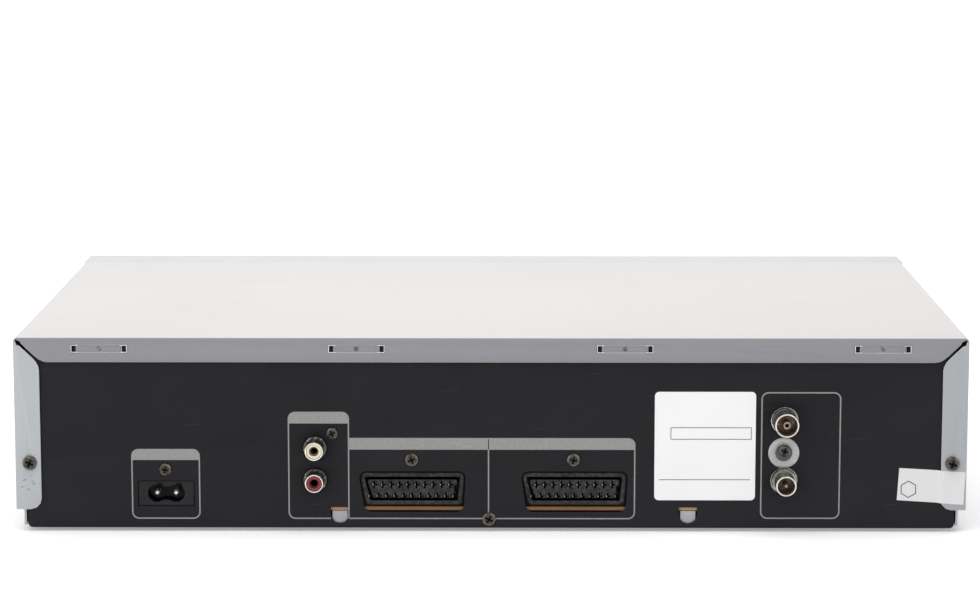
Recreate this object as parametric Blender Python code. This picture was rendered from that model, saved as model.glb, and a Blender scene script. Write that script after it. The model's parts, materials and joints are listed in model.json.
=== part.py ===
"""A front-loading cassette recorder with its lift, tape deck and sockets, in metres.

Z is up, the front faces -Y, and the origin is on the floor at the middle of the overall box.
"""

import math

import bmesh
import bpy
from mathutils import Matrix, Vector

# Overall sizes, sheets, gaps and the standard cassette
CASE_WIDTH = 0.430
FOOT_HEIGHT = 0.003
SOCKET_REACH = 0.011
KEY_PROUD = 0.0012
STEEL_SHEET = 0.0008
PANEL_SHEET = 0.001
SEAT_GAP = 0.0003
RUNNING_GAP = 0.0003
CUT_OVERRUN = 0.001
CASSETTE_WIDTH = 0.188
CASSETTE_DEPTH = 0.104
CASSETTE_HEIGHT = 0.025

# Stack of depths from the fascia to the rear flange
FASCIA_DEPTH = 0.028
FASCIA_WALL = 0.0025
DECK_FRONT_SPACE = 0.0135
DRUM_SPACING = 0.040
DRUM_RADIUS = 0.031
DECK_REAR_MARGIN = 0.005
BOARD_SPACE = 0.004
BOARD_DEPTH = 0.0441

# Stack of heights from the floor to the cover
UNDER_DECK_SPACE = 0.019
DECK_SHEET = 0.0012
CASSETTE_STAND = 0.0108
LIFT_TRAVEL = 0.016
LIFT_CLEARANCE = 0.001
HOLDER_SHEET = 0.001
LID_SPACE = 0.0112

# Turned pieces: facets round a small, a middle and a large circle
FEW_FACETS = 8
SOME_FACETS = 16
SOCKET_FACETS = 24
MANY_FACETS = 32
CORNER_STEPS = 3
SMOOTH_ANGLE = math.radians(35)

BODY_DEPTH = (FASCIA_DEPTH + DECK_FRONT_SPACE + CASSETTE_DEPTH + DRUM_SPACING + DRUM_RADIUS
              + DECK_REAR_MARGIN + BOARD_SPACE + BOARD_DEPTH + 2 * SEAT_GAP + PANEL_SHEET + STEEL_SHEET)
FRONT_Y = (KEY_PROUD - BODY_DEPTH - SOCKET_REACH) / 2
REAR_Y = FRONT_Y + BODY_DEPTH
FASCIA_BACK_Y = FRONT_Y + FASCIA_DEPTH
DECK_FRONT_Y = FASCIA_BACK_Y + DECK_FRONT_SPACE
CASSETTE_REAR_Y = DECK_FRONT_Y + CASSETTE_DEPTH
DRUM_Y = CASSETTE_REAR_Y + DRUM_SPACING
DECK_REAR_Y = DRUM_Y + DRUM_RADIUS + DECK_REAR_MARGIN
BOARD_FRONT_Y = DECK_REAR_Y + BOARD_SPACE
BOARD_REAR_Y = BOARD_FRONT_Y + BOARD_DEPTH
PANEL_FACE_Y = REAR_Y - STEEL_SHEET - SEAT_GAP
PANEL_BACK_Y = PANEL_FACE_Y - PANEL_SHEET

BASE_Z = FOOT_HEIGHT
DECK_Z = BASE_Z + UNDER_DECK_SPACE
DECK_TOP_Z = DECK_Z + DECK_SHEET
CASSETTE_UP_Z = DECK_TOP_Z + CASSETTE_STAND + LIFT_TRAVEL
HOLDER_TOP_Z = CASSETTE_UP_Z + CASSETTE_HEIGHT + LIFT_CLEARANCE + HOLDER_SHEET
TOP_Z = HOLDER_TOP_Z + LID_SPACE + STEEL_SHEET
HALF_WIDTH = CASE_WIDTH / 2

BAY_X_SHARE = -0.1163
BAY_X = BAY_X_SHARE * CASE_WIDTH

# Cover
COVER_SIDE_LIFT = 0.0073
COVER_BEND_RADIUS = 0.0015
COVER_RETURN = 0.002
FLANGE_TOP_WIDTH = 0.011
FLANGE_SIDE_WIDTH = 0.0115
FLANGE_TOE_RADIUS = 0.005
MITRE_SLIT = 0.0013
MITRE_RELIEF = 0.0024
MITRE_FLARE = 0.0038
MITRE_FLARE_DEPTH = 0.0034
LANCE_WIDTH = 0.0252
LANCE_HEIGHT = 0.0034
LANCE_RISE = 0.0044
LANCE_DEPTH = 0.0004
LANCE_END_GAP = 0.0022
LANCE_DIMPLE_RADIUS = 0.0013
LANCE_X_SHARES = (0.410, 0.1405, -0.1405, -0.410)
SCREW_HEIGHT = 0.0288
SCREW_HOLE_RADIUS = 0.0016
SCREW_HEAD_RADIUS = 0.0032
SCREW_HEAD_HEIGHT = 0.0017
SCREW_SLOT_WIDTH = 0.0009
SCREW_SLOT_DEPTH = 0.0007
SCREW_SLOT_REACH = 0.002
SCREW_LENGTH = 0.006
SCREW_CROWN_SHARE = 0.7
COVER_BOTTOM_Z = BASE_Z + COVER_SIDE_LIFT
SCREW_X = HALF_WIDTH - FLANGE_SIDE_WIDTH / 2 - STEEL_SHEET
SCREW_Z = BASE_Z + SCREW_HEIGHT

# Chassis tray
TRAY_INSET = 0.0034
TRAY_SHEET = 0.001
TRAY_WALL_HEIGHT = 0.022
TRAY_LIP = 0.004
PANEL_EDGE_GAP = 0.0006
TRAY_HALF = HALF_WIDTH - TRAY_INSET
TRAY_TOP_Z = BASE_Z + TRAY_SHEET
VENT_WIDTH = 0.003
VENT_LENGTH = 0.026
VENT_PITCH = 0.009
VENT_COUNT = 7
VENT_X_SHARE = 0.32
VENT_Y_SHARE = 0.12
BOSS_RADIUS = 0.003

# Main board and its parts
BOARD_LIFT = 0.0056
BOARD_SHEET = 0.0016
BOARD_LEFT_SHARE = -0.386
BOARD_RIGHT_SHARE = 0.460
BOARD_WING_SHARE = 0.180
BOARD_WING_LENGTH = 0.135
BOARD_Z = TRAY_TOP_Z + BOARD_LIFT
BOARD_TOP_Z = BOARD_Z + BOARD_SHEET

# Rear sockets: places along the width as shares of it, heights above the floor sheet
AC_X_SHARE = 0.3420
AC_HEIGHT = 0.0144
AC_FACE_WIDTH = 0.0257
AC_FACE_HEIGHT = 0.0118
AC_LOBE_RADIUS = 0.00415
AC_PIN_PITCH = 0.0086
AC_WAIST_SHARE = 0.75
AC_CAVITY_DEPTH = 0.009
AC_BODY_DEPTH = 0.018
AC_FLANGE = 0.0015
AC_FACE_SINK = 0.0004
AC_PIN_RADIUS = 0.0012
AC_PIN_LENGTH = 0.0075
AUDIO_X_SHARE = 0.1849
AUDIO_RIGHT_HEIGHT = 0.0208
AUDIO_PITCH = 0.0147
AUDIO_SHELL_RADIUS = 0.00415
AUDIO_SHELL_WALL = 0.0006
AUDIO_REACH = 0.009
AUDIO_BORE_RADIUS = 0.0016
AUDIO_FACE_SINK = 0.0006
AUDIO_BLOCK_WIDTH = 0.018
AUDIO_BLOCK_DEPTH = 0.012
AUDIO_COLLAR_RADIUS = 0.0053
AV_X_SHARE = 0.0828
AV_PITCH_SHARE = 0.1707
AV_TOP_WIDTH = 0.0488
AV_SLANT = 0.0029
AV_BASE_INSET = 0.0011
AV_CORNER_RADIUS = 0.003
AV_HOLE_HEIGHT = 0.0188
AV_HOLE_LIFT = 0.006
AV_RING_GAP = 0.0009
AV_RIM = 0.0017
AV_GROOVE = 0.0014
AV_GROOVE_DEPTH = 0.006
AV_CONTACT_PITCH = 0.00381
AV_CONTACT_LENGTH = 0.0034
AV_CONTACT_WIDTH = 0.0008
AV_CONTACT_DEPTH = 0.004
AV_ROW_PITCH = 0.0053
AV_ROW_COUNT = 10
AV_ROW_LIFT = 0.0072
AV_BODY_DEPTH = 0.022
AV_BODY_MARGIN = 0.0015
AV_KEY_WIDTH = 0.0014
AV_KEY_HEIGHT = 0.003
AV_FACE_SINK = 0.0006
TUNER_X_SHARE = -0.3256
TUNER_WIDTH = 0.034
TUNER_HEIGHT = 0.052
TUNER_SEAM = 0.0006
TUNER_LID = 0.003
RF_X_SHARE = -0.3087
RF_IN_HEIGHT = 0.0482
RF_OUT_HEIGHT = 0.0205
RF_IN_RADIUS = 0.0054
RF_OUT_RADIUS = 0.0046
RF_WALL = 0.0007
RF_CORE_RADIUS = 0.0022
RF_CORE_BORE = 0.0009
RF_PIN_RADIUS = 0.0011
RF_CAVITY_DEPTH = 0.010
RF_FLANGE_RADIUS = 0.0058
RF_FLANGE = 0.0016
RF_HOLE_GAP = 0.0005
RING_RADIUS = 0.0062
RING_HEIGHT = 0.0337
RING_DEPTH = 0.0003
NOTCH_WIDTH = 0.0082
NOTCH_HEIGHT = 0.0076
NOTCH_LIFT = 0.0006
NOTCH_X_SHARES = (0.1591, -0.2079)
TAB_WIDTH = 0.0068
TAB_SHEET = 0.001
PANEL_CORNER_RADIUS = 0.002
PANEL_TOE = 0.008

# Transformer
TRANSFORMER_X_SHARE = 0.335
TRANSFORMER_WIDTH = 0.050
TRANSFORMER_DEPTH = 0.030
TRANSFORMER_HEIGHT = 0.042
WINDING_WIDTH = 0.032
WINDING_DEPTH = 0.050
WINDING_HEIGHT = 0.028
WINDING_RADIUS = 0.006
TRANSFORMER_FROM_BOARD = 0.030

# Fascia openings
FASCIA_CORNER_RADIUS = 0.006
FASCIA_TOP_ROUND = 0.004
FASCIA_BOTTOM_LIFT = 0.001
FASCIA_GROOVE_WIDTH = 0.001
FASCIA_GROOVE_DEPTH = 0.0008
FASCIA_GROOVE_DROP = 0.0035
MOUTH_SIDE_GAP = 0.003
MOUTH_BELOW = 0.001
MOUTH_ABOVE = 0.0052
SLEEVE_WALL = 0.002
SLEEVE_DEPTH = 0.0255
DOOR_SIDE_GAP = 0.0005
DOOR_THICKNESS = 0.0023
DOOR_SINK = 0.0006
DOOR_EDGE_GAP = 0.0003
DOOR_PIVOT_DROP = 0.0017
DOOR_PIN_RADIUS = 0.001
DOOR_PIN_LENGTH = 0.0015
DOOR_BARREL_RADIUS = 0.0015
DOOR_RIB_HEIGHT = 0.0012
DOOR_RIB_COUNT = 3
DOOR_RIB_WIDTH = 0.0012
WINDOW_BAY_GAP = 0.010
WINDOW_EDGE_MARGIN = 0.046
WINDOW_TRIM_SHARE = 0.06
WINDOW_THICKNESS = 0.002
WINDOW_SINK = 0.0003
WINDOW_CORNER_RADIUS = 0.003
WINDOW_FLANGE = 0.0015
TUBE_DEPTH = 0.006
TUBE_MARGIN = 0.006
POWER_EDGE_MARGIN = 0.027
POWER_RADIUS = 0.008
POWER_HEIGHT_SHARE = 0.55
KEY_WIDTH = 0.022
KEY_HEIGHT = 0.010
KEY_PITCH = 0.0275
KEY_CORNER_RADIUS = 0.002
KEY_FIT = 0.0004
KEY_FLANGE = 0.0012
KEY_FLANGE_WIDTH = 0.0012
KEY_TRAVEL = 0.0008
KEY_ROW_HEIGHT = 0.0225
KEY_ROW_GAP = 0.018
KEY_STEM_RADIUS = 0.002
KEY_DISH = 0.0004
ROCKER_WIDTH = 0.030
ROCKER_HEIGHT = 0.012
ROCKER_EDGE_MARGIN = 0.075
ROCKER_PIN_RADIUS = 0.0008
ROCKER_PIN_LENGTH = 0.0011
AV_BAY_EDGE_MARGIN = 0.010
AV_BAY_WIDTH = 0.085
AV_BAY_LIFT = 0.0039
AV_BAY_BELOW_GROOVE = 0.0022
AV_BAY_DEPTH = 0.0175
FLAP_THICKNESS = 0.0022
FLAP_FIT = 0.0004
FLAP_SINK = 0.0003
FLAP_PIVOT_RISE = 0.0017
FLAP_PIVOT_DEPTH = 0.0013
FLAP_PIN_RADIUS = 0.0008
FLAP_PIN_LENGTH = 0.0014
FLAP_SCOOP_RADIUS = 0.008
JACK_BLOCK_DEPTH = 0.009
JACK_RADIUS = 0.00415
JACK_BORE = 0.0016
JACK_REACH = 0.003
JACK_PITCH_SHARE = 0.27
FRONT_BOARD_GAP = 0.0013
FRONT_BOARD_LIFT = 0.005
FRONT_BOARD_MARGIN = 0.010
POST_RADIUS = 0.003

MOUTH_X = (BAY_X - CASSETTE_WIDTH / 2 - MOUTH_SIDE_GAP, BAY_X + CASSETTE_WIDTH / 2 + MOUTH_SIDE_GAP)
MOUTH_Z = (CASSETTE_UP_Z - MOUTH_BELOW, CASSETTE_UP_Z + CASSETTE_HEIGHT + MOUTH_ABOVE)
FASCIA_Z = (BASE_Z + FASCIA_BOTTOM_LIFT, TOP_Z)
WALL_BACK_Y = FRONT_Y + FASCIA_WALL
GROOVE_Z = MOUTH_Z[0] - FASCIA_GROOVE_DROP
DOOR_FACE_Y = FRONT_Y + DOOR_SINK
DOOR_PIVOT_Y = DOOR_FACE_Y + DOOR_THICKNESS
DOOR_PIVOT_Z = MOUTH_Z[1] - DOOR_EDGE_GAP - DOOR_PIVOT_DROP
WINDOW_X = (MOUTH_X[1] + WINDOW_BAY_GAP, HALF_WIDTH - WINDOW_EDGE_MARGIN)
WINDOW_TRIM = WINDOW_TRIM_SHARE * (MOUTH_Z[1] - MOUTH_Z[0])
WINDOW_Z = (MOUTH_Z[0] + WINDOW_TRIM, MOUTH_Z[1] - WINDOW_TRIM)
POWER_X = -HALF_WIDTH + POWER_EDGE_MARGIN
POWER_Z = MOUTH_Z[0] + POWER_HEIGHT_SHARE * (MOUTH_Z[1] - MOUTH_Z[0])
AV_BAY_X = (-HALF_WIDTH + AV_BAY_EDGE_MARGIN, -HALF_WIDTH + AV_BAY_EDGE_MARGIN + AV_BAY_WIDTH)
AV_BAY_Z = (FASCIA_Z[0] + AV_BAY_LIFT, GROOVE_Z - AV_BAY_BELOW_GROOVE)
FLAP_TURN_GAP = math.hypot(FLAP_PIVOT_RISE, FLAP_PIVOT_DEPTH) - FLAP_PIVOT_RISE
FLAP_Z = (AV_BAY_Z[0] + FLAP_TURN_GAP + FLAP_FIT, AV_BAY_Z[1] - FLAP_FIT)
FLAP_PIVOT_Y = FRONT_Y + FLAP_SINK + FLAP_PIVOT_DEPTH
FLAP_PIVOT_Z = FLAP_Z[0] + FLAP_PIVOT_RISE
KEY_Z = BASE_Z + KEY_ROW_HEIGHT
KEY_NAMES = ("eject_button", "rewind_button", "play_button", "fast_forward_button", "stop_button",
             "record_button")
KEY_FIRST_X = AV_BAY_X[1] + KEY_ROW_GAP
ROCKER_X = HALF_WIDTH - ROCKER_EDGE_MARGIN
ROCKER_PIVOT_Y = FRONT_Y + FASCIA_WALL / 2
FRONT_BOARD_Y = FASCIA_BACK_Y + FRONT_BOARD_GAP

# Cassette lift: the housing's side plates, the holder that moves in them and its drive
HOLDER_SIDE_GAP = 0.0015
HOLDER_FRONT_SETBACK = 0.052
HOLDER_REAR_SETBACK = 0.005
HOLDER_LIP = 0.0225
HOLDER_WINDOW_MARGIN = 0.012
HOLDER_WINDOW_SHARE = 0.5
HOLDER_PIN_RADIUS = 0.0015
HOLDER_PIN_RISE = 0.010
HOLDER_PIN_SETBACK = 0.006
SIDE_PLATE_SPACE = 0.0063
SIDE_PLATE_SHEET = 0.001
SIDE_PLATE_REAR = 0.041
SIDE_PLATE_FOOT = 0.008
SIDE_PLATE_FRONT = 0.008
SLOT_CLEARANCE = 0.0003
CARRIAGE_TRAVEL = 0.060
SLIDER_GAP = 0.0004
SLIDER_THICKNESS = 0.003
SLIDER_FRONT_SETBACK = 0.034
SLIDER_REAR_EXTRA = 0.012
SLIDER_WALL = 0.004
RAIL_HEIGHT = 0.0012
RAIL_REACH = 0.0048
GEAR_MODULE = 0.001
DRIVE_TEETH = 20
DRIVE_AXLE_RADIUS = 0.0018
DRIVE_SETBACK = 0.006
DRIVE_HUB_RADIUS = 0.004
DRIVE_HUB_HEIGHT = 0.001
BRIDGE_WIDTH = 0.008
PRESSURE_ANGLE = math.radians(20)
TOOTH_BACKLASH = 0.00016
ROOT_CLEARANCE_SHARE = 0.25
FLANK_STEPS = 2

HOLDER_HALF = CASSETTE_WIDTH / 2 + HOLDER_SIDE_GAP
HOLDER_Y = (DECK_FRONT_Y + HOLDER_FRONT_SETBACK, CASSETTE_REAR_Y - HOLDER_REAR_SETBACK)
HOLDER_Z = (CASSETTE_UP_Z - LIFT_CLEARANCE / 2 - HOLDER_SHEET, HOLDER_TOP_Z)
HOLDER_PIN_Z = CASSETTE_UP_Z + HOLDER_PIN_RISE
HOLDER_PIN_Y = (HOLDER_Y[0] + HOLDER_PIN_SETBACK, HOLDER_Y[1] - HOLDER_PIN_SETBACK)
PLATE_IN = HOLDER_HALF + HOLDER_SHEET + SIDE_PLATE_SPACE
PLATE_OUT = PLATE_IN + SIDE_PLATE_SHEET
PLATE_Y = (HOLDER_Y[0] - CARRIAGE_TRAVEL + HOLDER_PIN_SETBACK - SIDE_PLATE_FRONT,
           CASSETTE_REAR_Y + SIDE_PLATE_REAR)
PLATE_BOTTOM_Z = DECK_TOP_Z + SEAT_GAP
PLATE_TOP_Z = TOP_Z - STEEL_SHEET - SEAT_GAP - HOLDER_SHEET
SLIDER_X = (PLATE_OUT + SLIDER_GAP, PLATE_OUT + SLIDER_GAP + SLIDER_THICKNESS)
SLIDER_Y = (HOLDER_PIN_Y[1] - SLIDER_FRONT_SETBACK + SLIDER_REAR_EXTRA,
            HOLDER_PIN_Y[1] + SLIDER_FRONT_SETBACK + SLIDER_REAR_EXTRA + SLIDER_WALL)
SLOT_HALF = HOLDER_PIN_RADIUS + SLOT_CLEARANCE
SLIDER_BOTTOM_Z = HOLDER_PIN_Z - LIFT_TRAVEL - SLOT_HALF - SLIDER_WALL / 4
DRIVE_RADIUS = GEAR_MODULE * DRIVE_TEETH / 2
RACK_PITCH_Z = HOLDER_PIN_Z + SLOT_HALF + GEAR_MODULE * (1 + ROOT_CLEARANCE_SHARE) + SLIDER_WALL / 2
DRIVE_Z = RACK_PITCH_Z + DRIVE_RADIUS
DRIVE_Y = SLIDER_Y[0] + DRIVE_SETBACK

# Tape deck: places are offsets from the drum's axis
DECK_HALF = PLATE_OUT + SIDE_PLATE_FOOT + HOLDER_SHEET
DECK_LEG_WIDTH = 0.012
DRUM_TILT = math.radians(5.97)
DRUM_CENTRE_RISE = 0.013
LOWER_DRUM_HEIGHT = 0.017
UPPER_DRUM_HEIGHT = 0.0145
DRUM_GAP = 0.0004
DRUM_LEDGE = 0.0012
DRUM_LEDGE_DROP = 0.006
DRUM_FOOT_RADIUS = 0.022
DRUM_SHAFT_RADIUS = 0.003
DRUM_RECESS_RADIUS = 0.020
DRUM_RECESS_DEPTH = 0.002
DRUM_HUB_RADIUS = 0.009
CAPSTAN_OFFSET = (0.062, -0.022)
CAPSTAN_RADIUS = 0.002
CAPSTAN_TOP = 0.028
FLYWHEEL_RADIUS = 0.026
FLYWHEEL_HEIGHT = 0.008
FLYWHEEL_RIM = 0.004
FLYWHEEL_WEB_SHARE = 0.4
BEARING_RADIUS = 0.0045
BEARING_RISE = 0.004
STATOR_RADIUS = 0.018
STATOR_HEIGHT = 0.002
STATOR_FLYWHEEL_GAP = 0.001
ROLLER_RADIUS = 0.007
ROLLER_HEIGHT = 0.014
ROLLER_LIFT = 0.0125
ROLLER_PIN_RADIUS = 0.0015
ROLLER_DIRECTION = math.radians(-60)
PINCH_PIVOT_OFFSET = (0.088, -0.014)
PINCH_SWING = math.radians(20)
ARM_LIFT = 0.0048
ARM_SHEET = 0.002
ARM_WIDTH = 0.009
ARM_POST_RADIUS = 0.002
ARM_HUB_RADIUS = 0.005
REEL_SPACING = 0.092
REEL_FROM_LABEL_EDGE = 0.046
REEL_RADIUS = 0.024
REEL_TABLE_LIFT = 0.0008
REEL_TABLE = 0.003
REEL_HUB_RADIUS = 0.011
REEL_HUB_HEIGHT = 0.010
REEL_SPINDLE_RADIUS = 0.0055
REEL_SPINDLE_HEIGHT = 0.011
REEL_POST_RADIUS = 0.002
REEL_POST_HEIGHT = 0.016
REEL_FIN_COUNT = 3
REEL_FIN_WIDTH = 0.0016
REEL_FIN_REACH = 0.0026
IDLER_RADIUS = 0.016
IDLER_WIDTH = 0.003
IDLER_SETBACK = 0.006
IDLER_POST_HEIGHT = 0.005
CAM_OFFSET = (-0.080, 0.008)
CAM_TEETH = 32
LOADING_TEETH = 16
LOADING_MODULE = 0.00115
LOADING_FACE = 0.004
LOADING_DIRECTION = math.radians(20)
CAM_HUB_RADIUS = 0.006
CAM_HUB_HEIGHT = 0.004
CAM_TRACK_RADIUS = 0.012
CAM_TRACK_WIDTH = 0.003
CAM_TRACK_DEPTH = 0.0015
CAM_TRACK_SHIFT = 0.002
MOTOR_RADIUS = 0.011
MOTOR_HEIGHT = 0.014
MOTOR_SHAFT_RADIUS = 0.001
GUIDE_PATH_RADIUS = 0.041
GUIDE_REST_ANGLE = math.radians(25)
GUIDE_SWING = math.radians(84)
GUIDE_BASE_HALF = 0.0045
GUIDE_BASE_HEIGHT = 0.0035
GUIDE_RIM = 0.0008
GUIDE_END_GAP = math.radians(1)
GUIDE_ARC = math.radians(14)
GUIDE_POST_RADIUS = 0.0028
GUIDE_POST_HEIGHT = 0.026
GUIDE_TONGUE = 0.0018
GUIDE_SLOT = 0.0046
GUIDE_SLOT_STEPS = 10
HEAD_WIDTH = 0.009
HEAD_DEPTH = 0.008
HEAD_HEIGHT = 0.018
HEAD_STAND_RADIUS = 0.0022
HEAD_STAND_HEIGHT = 0.012
HEAD_NOSE_RADIUS = 0.003
ERASE_OFFSET = (-0.060, -0.014)
AUDIO_HEAD_OFFSET = (0.057, 0.003)

CAPSTAN = (BAY_X + CAPSTAN_OFFSET[0], DRUM_Y + CAPSTAN_OFFSET[1])
PINCH_PIVOT = (BAY_X + PINCH_PIVOT_OFFSET[0], DRUM_Y + PINCH_PIVOT_OFFSET[1])
CAM = (BAY_X + CAM_OFFSET[0], DRUM_Y + CAM_OFFSET[1])
LOADING_DISTANCE = LOADING_MODULE * (CAM_TEETH + LOADING_TEETH) / 2
LOADING = (CAM[0] + LOADING_DISTANCE * math.cos(LOADING_DIRECTION),
           CAM[1] + LOADING_DISTANCE * math.sin(LOADING_DIRECTION))
REEL_Y = DECK_FRONT_Y + REEL_FROM_LABEL_EDGE
REEL_X = {"supply_reel": BAY_X - REEL_SPACING / 2, "takeup_reel": BAY_X + REEL_SPACING / 2}
IDLER = (BAY_X, REEL_Y + IDLER_SETBACK)
DECK_SEAT_Z = DECK_TOP_Z + SEAT_GAP
DRUM_Z = DECK_TOP_Z + DRUM_CENTRE_RISE
GUIDE_SIDES = {"supply_guide": -1, "takeup_guide": 1}

# Feet
FOOT_RADIUS = 0.011
FOOT_TAPER = 0.0012
FOOT_RECESS_RADIUS = 0.004
FOOT_RECESS_DEPTH = 0.0012
FOOT_X_SHARE = 0.419
FOOT_FRONT_SETBACK = 0.018
FOOT_REAR_SETBACK = 0.028

AV_BOTTOM_Z = BASE_Z + AV_HOLE_LIFT
AV_TOP_Z = AV_BOTTOM_Z + AV_HOLE_HEIGHT
AV_BOARD_STEP = BOARD_TOP_Z + SEAT_GAP - AV_BOTTOM_Z
AV_CENTRES = (AV_X_SHARE * CASE_WIDTH, (AV_X_SHARE - AV_PITCH_SHARE) * CASE_WIDTH)
AC_X = AC_X_SHARE * CASE_WIDTH
AC_Z = BASE_Z + AC_HEIGHT
AUDIO_X = AUDIO_X_SHARE * CASE_WIDTH
AUDIO_Z = {"right": BASE_Z + AUDIO_RIGHT_HEIGHT, "left": BASE_Z + AUDIO_RIGHT_HEIGHT + AUDIO_PITCH}
RF_X = RF_X_SHARE * CASE_WIDTH
RF_Z = {"rf_in_socket": BASE_Z + RF_IN_HEIGHT, "rf_out_socket": BASE_Z + RF_OUT_HEIGHT}
BOARD_X = (BOARD_LEFT_SHARE * CASE_WIDTH, BOARD_RIGHT_SHARE * CASE_WIDTH)
BOARD_WING_X = BOARD_WING_SHARE * CASE_WIDTH
KEY_X = [KEY_FIRST_X + index * KEY_PITCH for index in range(len(KEY_NAMES))]
FRONT_BOARD_X = (AV_BAY_X[1] + FRONT_BOARD_MARGIN, HALF_WIDTH - FRONT_BOARD_MARGIN)
FRONT_STRIP_Z = (FASCIA_Z[0] + FRONT_BOARD_LIFT, GROOVE_Z - FRONT_BOARD_LIFT)
FRONT_BOARD_TOP_Z = WINDOW_Z[1] + WINDOW_TRIM
# Surfaces: colour, roughness and how metallic
SURFACES = {
    "cover_paint": ((0.72, 0.71, 0.70), 0.45, 0.0),
    "plated_steel": ((0.62, 0.63, 0.64), 0.35, 0.9),
    "panel_paint": ((0.05, 0.05, 0.056), 0.55, 0.1),
    "foot_plastic": ((0.03, 0.03, 0.03), 0.8, 0.0),
    "dark_screw": ((0.07, 0.06, 0.055), 0.4, 0.8),
    "black_moulding": ((0.02, 0.02, 0.022), 0.5, 0.0),
    "nickel": ((0.75, 0.73, 0.68), 0.25, 1.0),
    "white_insulator": ((0.85, 0.84, 0.80), 0.45, 0.0),
    "red_insulator": ((0.65, 0.03, 0.03), 0.45, 0.0),
    "socket_moulding": ((0.035, 0.036, 0.04), 0.55, 0.0),
    "tinned_steel": ((0.66, 0.66, 0.64), 0.35, 0.9),
    "board_laminate": ((0.45, 0.27, 0.12), 0.6, 0.0),
    "lamination_steel": ((0.22, 0.21, 0.20), 0.5, 0.6),
    "display_glass": ((0.06, 0.09, 0.09), 0.15, 0.0),
    "fascia_plastic": ((0.10, 0.10, 0.11), 0.45, 0.0),
    "smoked_pane": ((0.02, 0.02, 0.024), 0.1, 0.0),
    "door_plastic": ((0.08, 0.08, 0.09), 0.4, 0.0),
    "key_plastic": ((0.14, 0.14, 0.15), 0.4, 0.0),
    "guide_brass": ((0.72, 0.56, 0.28), 0.35, 0.9),
    "drum_alloy": ((0.70, 0.70, 0.71), 0.25, 0.95),
    "ground_steel": ((0.70, 0.70, 0.72), 0.2, 1.0),
    "motor_alloy": ((0.50, 0.50, 0.52), 0.4, 0.9),
    "roller_rubber": ((0.03, 0.03, 0.03), 0.7, 0.0),
    "reel_nylon": ((0.75, 0.74, 0.70), 0.5, 0.0),
    "head_steel": ((0.55, 0.55, 0.57), 0.3, 0.9),
}

JOIN = "UNION"
CUT = "DIFFERENCE"


def span(middle, width):
    """The two ends of a width about its middle."""
    return (middle - width / 2, middle + width / 2)


def widened(ends, margin):
    """A span with the margin added at both ends."""
    return (ends[0] - margin, ends[1] + margin)


def block(x, y, z):
    """A box from three spans."""
    mesh = bmesh.new()
    bmesh.ops.create_cube(mesh, size=1)
    for vertex in mesh.verts:
        vertex.co = Vector([ends[0] if part < 0 else ends[1] for ends, part in zip((x, y, z), vertex.co)])
    return mesh


def prism(outline, axis, ends):
    """A closed outline carried along an axis. Its two coordinates are the other axes in X, Y, Z order."""
    mesh = bmesh.new()
    rings = []
    for end in ends:
        ring = []
        for first, second in outline:
            place = {"X": (end, first, second), "Y": (first, end, second), "Z": (first, second, end)}[axis]
            ring.append(mesh.verts.new(place))
        rings.append(ring)
    count = len(outline)
    mesh.faces.new(rings[0])
    mesh.faces.new(rings[1])
    for index in range(count):
        after = (index + 1) % count
        mesh.faces.new((rings[0][index], rings[0][after], rings[1][after], rings[1][index]))
    bmesh.ops.recalc_face_normals(mesh, faces=mesh.faces)
    return mesh


def arc(middle, radius, start, end, steps):
    """Points of an arc, both ends included."""
    turns = [start + (end - start) * step / steps for step in range(steps + 1)]
    return [(middle[0] + radius * math.cos(turn), middle[1] + radius * math.sin(turn)) for turn in turns]


def circle(middle, radius, facets):
    """Points of a full circle."""
    return arc(middle, radius, 0, 2 * math.pi * (facets - 1) / facets, facets - 1)


def rounded(x, z, radius):
    """A rectangle with round corners."""
    points = []
    corners = ((x[1], z[1], 0), (x[0], z[1], 1), (x[0], z[0], 2), (x[1], z[0], 3))
    for corner_x, corner_z, quarter in corners:
        middle = (corner_x - math.copysign(radius, corner_x - sum(x) / 2),
                  corner_z - math.copysign(radius, corner_z - sum(z) / 2))
        points += arc(middle, radius, quarter * math.pi / 2, (quarter + 1) * math.pi / 2, CORNER_STEPS)
    return points


def turned(profile, facets, middle=(0, 0), axis="Z"):
    """A profile of radius and height turned about an axis. A profile off the axis closes as a ring."""
    mesh = bmesh.new()
    rings = []
    for radius, height in profile:
        if radius == 0:
            rings.append([mesh.verts.new((0, 0, height))])
            continue
        points = circle((0, 0), radius, facets)
        rings.append([mesh.verts.new((first, second, height)) for first, second in points])
    pairs = list(zip(rings, rings[1:]))
    if len(rings[0]) > 1 and len(rings[-1]) > 1:
        pairs.append((rings[-1], rings[0]))
    for lower, upper in pairs:
        for index in range(facets):
            after = (index + 1) % facets
            if len(lower) == 1:
                mesh.faces.new((lower[0], upper[after], upper[index]))
            elif len(upper) == 1:
                mesh.faces.new((lower[index], lower[after], upper[0]))
            else:
                mesh.faces.new((lower[index], lower[after], upper[after], upper[index]))
    bmesh.ops.recalc_face_normals(mesh, faces=mesh.faces)
    if axis == "X":
        bmesh.ops.transform(mesh, matrix=Matrix.Rotation(math.pi / 2, 4, "Y"), verts=mesh.verts)
        bmesh.ops.translate(mesh, vec=(0, middle[0], middle[1]), verts=mesh.verts)
    elif axis == "Y":
        bmesh.ops.transform(mesh, matrix=Matrix.Rotation(-math.pi / 2, 4, "X"), verts=mesh.verts)
        bmesh.ops.translate(mesh, vec=(middle[0], 0, middle[1]), verts=mesh.verts)
    else:
        bmesh.ops.translate(mesh, vec=(middle[0], middle[1], 0), verts=mesh.verts)
    return mesh


def rod(middle, radius, ends, axis="Z", facets=SOME_FACETS):
    """A plain cylinder between two ends of an axis."""
    return turned([(0, ends[0]), (radius, ends[0]), (radius, ends[1]), (0, ends[1])], facets, middle, axis)


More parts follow.
